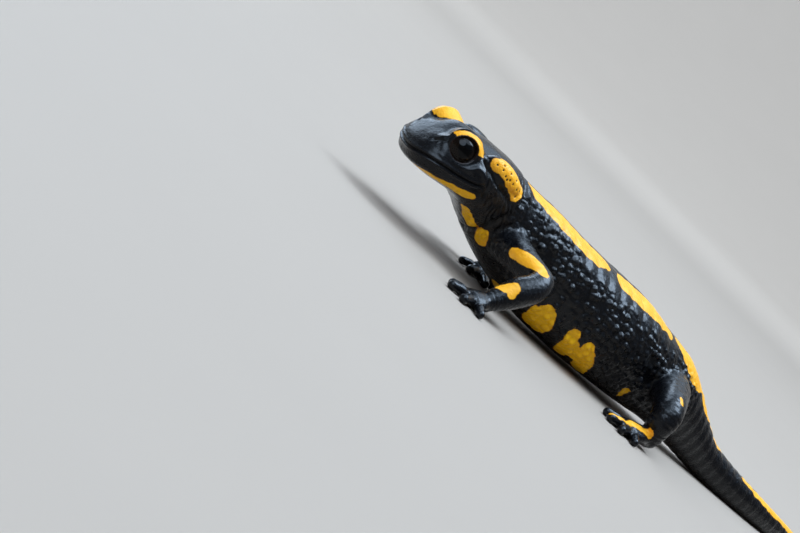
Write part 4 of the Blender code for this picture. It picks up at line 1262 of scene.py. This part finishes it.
def eye_material():
    n = Nodes("wet_eye")
    off = n.attribute("off_axis")
    fleck = n.noise(0.35, 3.0)
    iris = n.mix(n.ramp(fleck, 0.3, 0.75), (0.0030, 0.0018, 0.0014, 1), (0.0085, 0.0048, 0.0030, 1))
    colour = n.mix(n.ramp(n.math("ADD", off, n.math("MULTIPLY", fleck, 3.0)), 25.5, 28.0), (0.0012, 0.0012, 0.0014, 1), iris)
    colour = n.mix(n.ramp(off, 44.0, 54.0), colour, (0.018, 0.008, 0.005, 1))
    n.put(n.shader.inputs["Base Color"], colour)
    n.put(n.shader.inputs["Roughness"], n.ramp(off, 22.0, 50.0, 0.10, 0.22))
    n.shader.inputs["IOR"].default_value = 1.34
    n.shader.inputs["Specular IOR Level"].default_value = 0.1
    n.shader.inputs["Coat Weight"].default_value = 0.38
    n.shader.inputs["Coat Roughness"].default_value = 0.04
    n.shader.inputs["Coat IOR"].default_value = 1.30
    n.put(n.shader.inputs["Normal"], n.bump(fleck, 0.015, 0.3))
    return n.material


def stage_material():
    n = Nodes("pale_stage")
    n.put(n.shader.inputs["Base Color"], n.mix(n.noise(60.0, 2.0), (0.326, 0.262, 0.209, 1), (0.337, 0.271, 0.216, 1)))
    n.shader.inputs["Roughness"].default_value = 0.75
    n.shader.inputs["Specular IOR Level"].default_value = 0.15
    return n.material


# ---------------------------------------------------------------- studio and camera
def studio():
    """A round pale floor that turns up into a wall all the way round, so no horizon shows."""
    flat, turn, wall = 1.6, 1.4, 2.4
    profile = [(0.0, 0.0), (0.25, 0.0), (0.8, 0.0), (flat, 0.0)]
    profile += [(flat + turn * math.sin(a), turn * (1 - math.cos(a))) for a in np.linspace(0.05, math.pi / 2, 28)]
    profile += [(flat + turn, wall)]
    mesh = bpy.data.meshes.new("studio_floor")
    bm = bmesh.new()
    count = 96
    middle = bm.verts.new((0, 0, 0))
    loops = []
    for r, z in profile[1:]:
        loops.append([bm.verts.new((r * math.cos(2 * math.pi * i / count), r * math.sin(2 * math.pi * i / count), z)) for i in range(count)])
    for i in range(count):
        bm.faces.new((middle, loops[0][i], loops[0][(i + 1) % count]))
    for a, b in zip(loops, loops[1:]):
        for i in range(count):
            j = (i + 1) % count
            bm.faces.new((a[i], b[i], b[j], a[j]))
    bm.to_mesh(mesh)
    bm.free()
    mesh.shade_smooth()
    floor = bpy.data.objects.new("studio_floor", mesh)
    bpy.context.scene.collection.objects.link(floor)
    floor.data.materials.append(stage_material())


def lamp(name, place, aim, size, power, colour):
    data = bpy.data.lights.new(name, "AREA")
    data.shape = "DISK"
    data.size = size
    data.energy = power
    data.color = colour
    obj = bpy.data.objects.new(name, data)
    bpy.context.scene.collection.objects.link(obj)
    obj.location = place
    obj.rotation_mode = "QUATERNION"
    obj.rotation_quaternion = (Vector(aim) - Vector(place)).to_track_quat("-Z", "Y")
    return obj


CAMERA_AZIMUTH, CAMERA_ELEVATION, CAMERA_ROLL = 55.0, 4.0, 45.0
CAMERA_DISTANCE = 480.0
CAMERA_LOOKS_AT = (7.0, 9.0, 17.8)
LOOKS_AT_PIXEL = (463.8, 158.0)
FOCAL_PIXELS = 2562.0
IMAGE = (800, 533)


def camera():
    a, e, roll = (math.radians(v) for v in (CAMERA_AZIMUTH, CAMERA_ELEVATION, CAMERA_ROLL))
    back = Vector((math.sin(a) * math.cos(e), -math.cos(a) * math.cos(e), math.sin(e)))
    right = Vector((math.cos(a), math.sin(a), 0.0))
    up = back.cross(right)
    right, up = right * math.cos(roll) + up * math.sin(roll), up * math.cos(roll) - right * math.sin(roll)
    aim = Vector(((LOOKS_AT_PIXEL[0] - IMAGE[0] / 2), (IMAGE[1] / 2 - LOOKS_AT_PIXEL[1]), -FOCAL_PIXELS)).normalized()
    turn = Vector((0, 0, -1)).rotation_difference(aim).to_matrix()
    rows = turn @ Matrix((right, up, back))
    data = bpy.data.cameras.new("camera")
    data.sensor_width = 36.0
    data.lens = FOCAL_PIXELS / IMAGE[0] * 36.0
    data.clip_start, data.clip_end = 0.01, 20.0
    obj = bpy.data.objects.new("camera", data)
    bpy.context.scene.collection.objects.link(obj)
    world = rows.transposed().to_4x4()
    world.translation = (Vector(CAMERA_LOOKS_AT) + back * CAMERA_DISTANCE + Vector(SHIFT)) * MM
    obj.matrix_world = world
    bpy.context.scene.camera = obj
    return right, up, back


# ---------------------------------------------------------------- make it
eye_low, eye_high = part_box("eye_left")
SHIFT = np.array((eye_low + eye_high) / 2) / MM - np.array(head_point(*EYE))
SHIFT[2] = 0.0

image_right, image_up, image_back = camera()
studio()
subject = Vector(((cad_low + cad_high) / 2))
daylight = (0.62, 0.79, 1.0)
top = (image_right * 0.80 + image_up * 0.50 - image_back * 0.16).normalized()
lamp("top_softbox", subject + top * 0.85, subject, 0.52, 8.4, daylight)
sky = (image_up * 0.68 + image_back * 0.66 + image_right * 0.24).normalized()
lamp("sky_softbox", subject + sky * 0.85, subject, 0.62, 5.6, daylight)
rear = (image_up * 0.80 - image_back * 0.60 - image_right * 0.05).normalized()
lamp("rear_softbox", subject + rear * 0.95, subject, 0.75, 6.2, daylight)
wall = (-image_back * Vector((1.0, 1.0, 0.0))).normalized()
lamp("wall_softbox", subject + wall * 1.1 + Vector((0, 0, 0.9)), subject + wall * 2.8 + Vector((0, 0, 0.5)), 0.8, 15.8, daylight)
lamp("turn_softbox", subject + wall * 1.2 + Vector((0, 0, 1.3)), subject + wall * 2.6 + Vector((0, 0, 0.3)), 1.8, 23.6, daylight)
lamp("far_softbox", subject + wall * 2.0 + Vector((0, 0, 2.0)), subject + wall * 2.1, 1.8, 11.8, daylight)
lamp("ceiling_softbox", Vector((0, 0, 3.2)), Vector((0, 0, 0)), 3.0, 93.5, daylight)

world = bpy.data.worlds.new("studio_world")
world.use_nodes = True
world.node_tree.nodes["Background"].inputs["Color"].default_value = (0.62, 0.79, 1.0, 1)
world.node_tree.nodes["Background"].inputs["Strength"].default_value = 0.25
bpy.context.scene.world = world
bpy.context.scene.view_settings.view_transform = "Standard"
bpy.context.scene.view_settings.look = "None"

skin = build_skin()
skin.data.materials.clear()
skin.data.materials.append(skin_material())
flesh = [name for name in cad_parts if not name.startswith("eye_")]
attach(skin, "root")
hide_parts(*flesh)

eye_finish = eye_material()
for side, node, name in ((1, "eye_left", "eyeball_left"), (-1, "eye_right", "eyeball_right")):
    ball = eye_ball(name, side)
    ball.data.materials.append(eye_finish)
    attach(ball, "root")
    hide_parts(node)

bpy.context.view_layer.update()
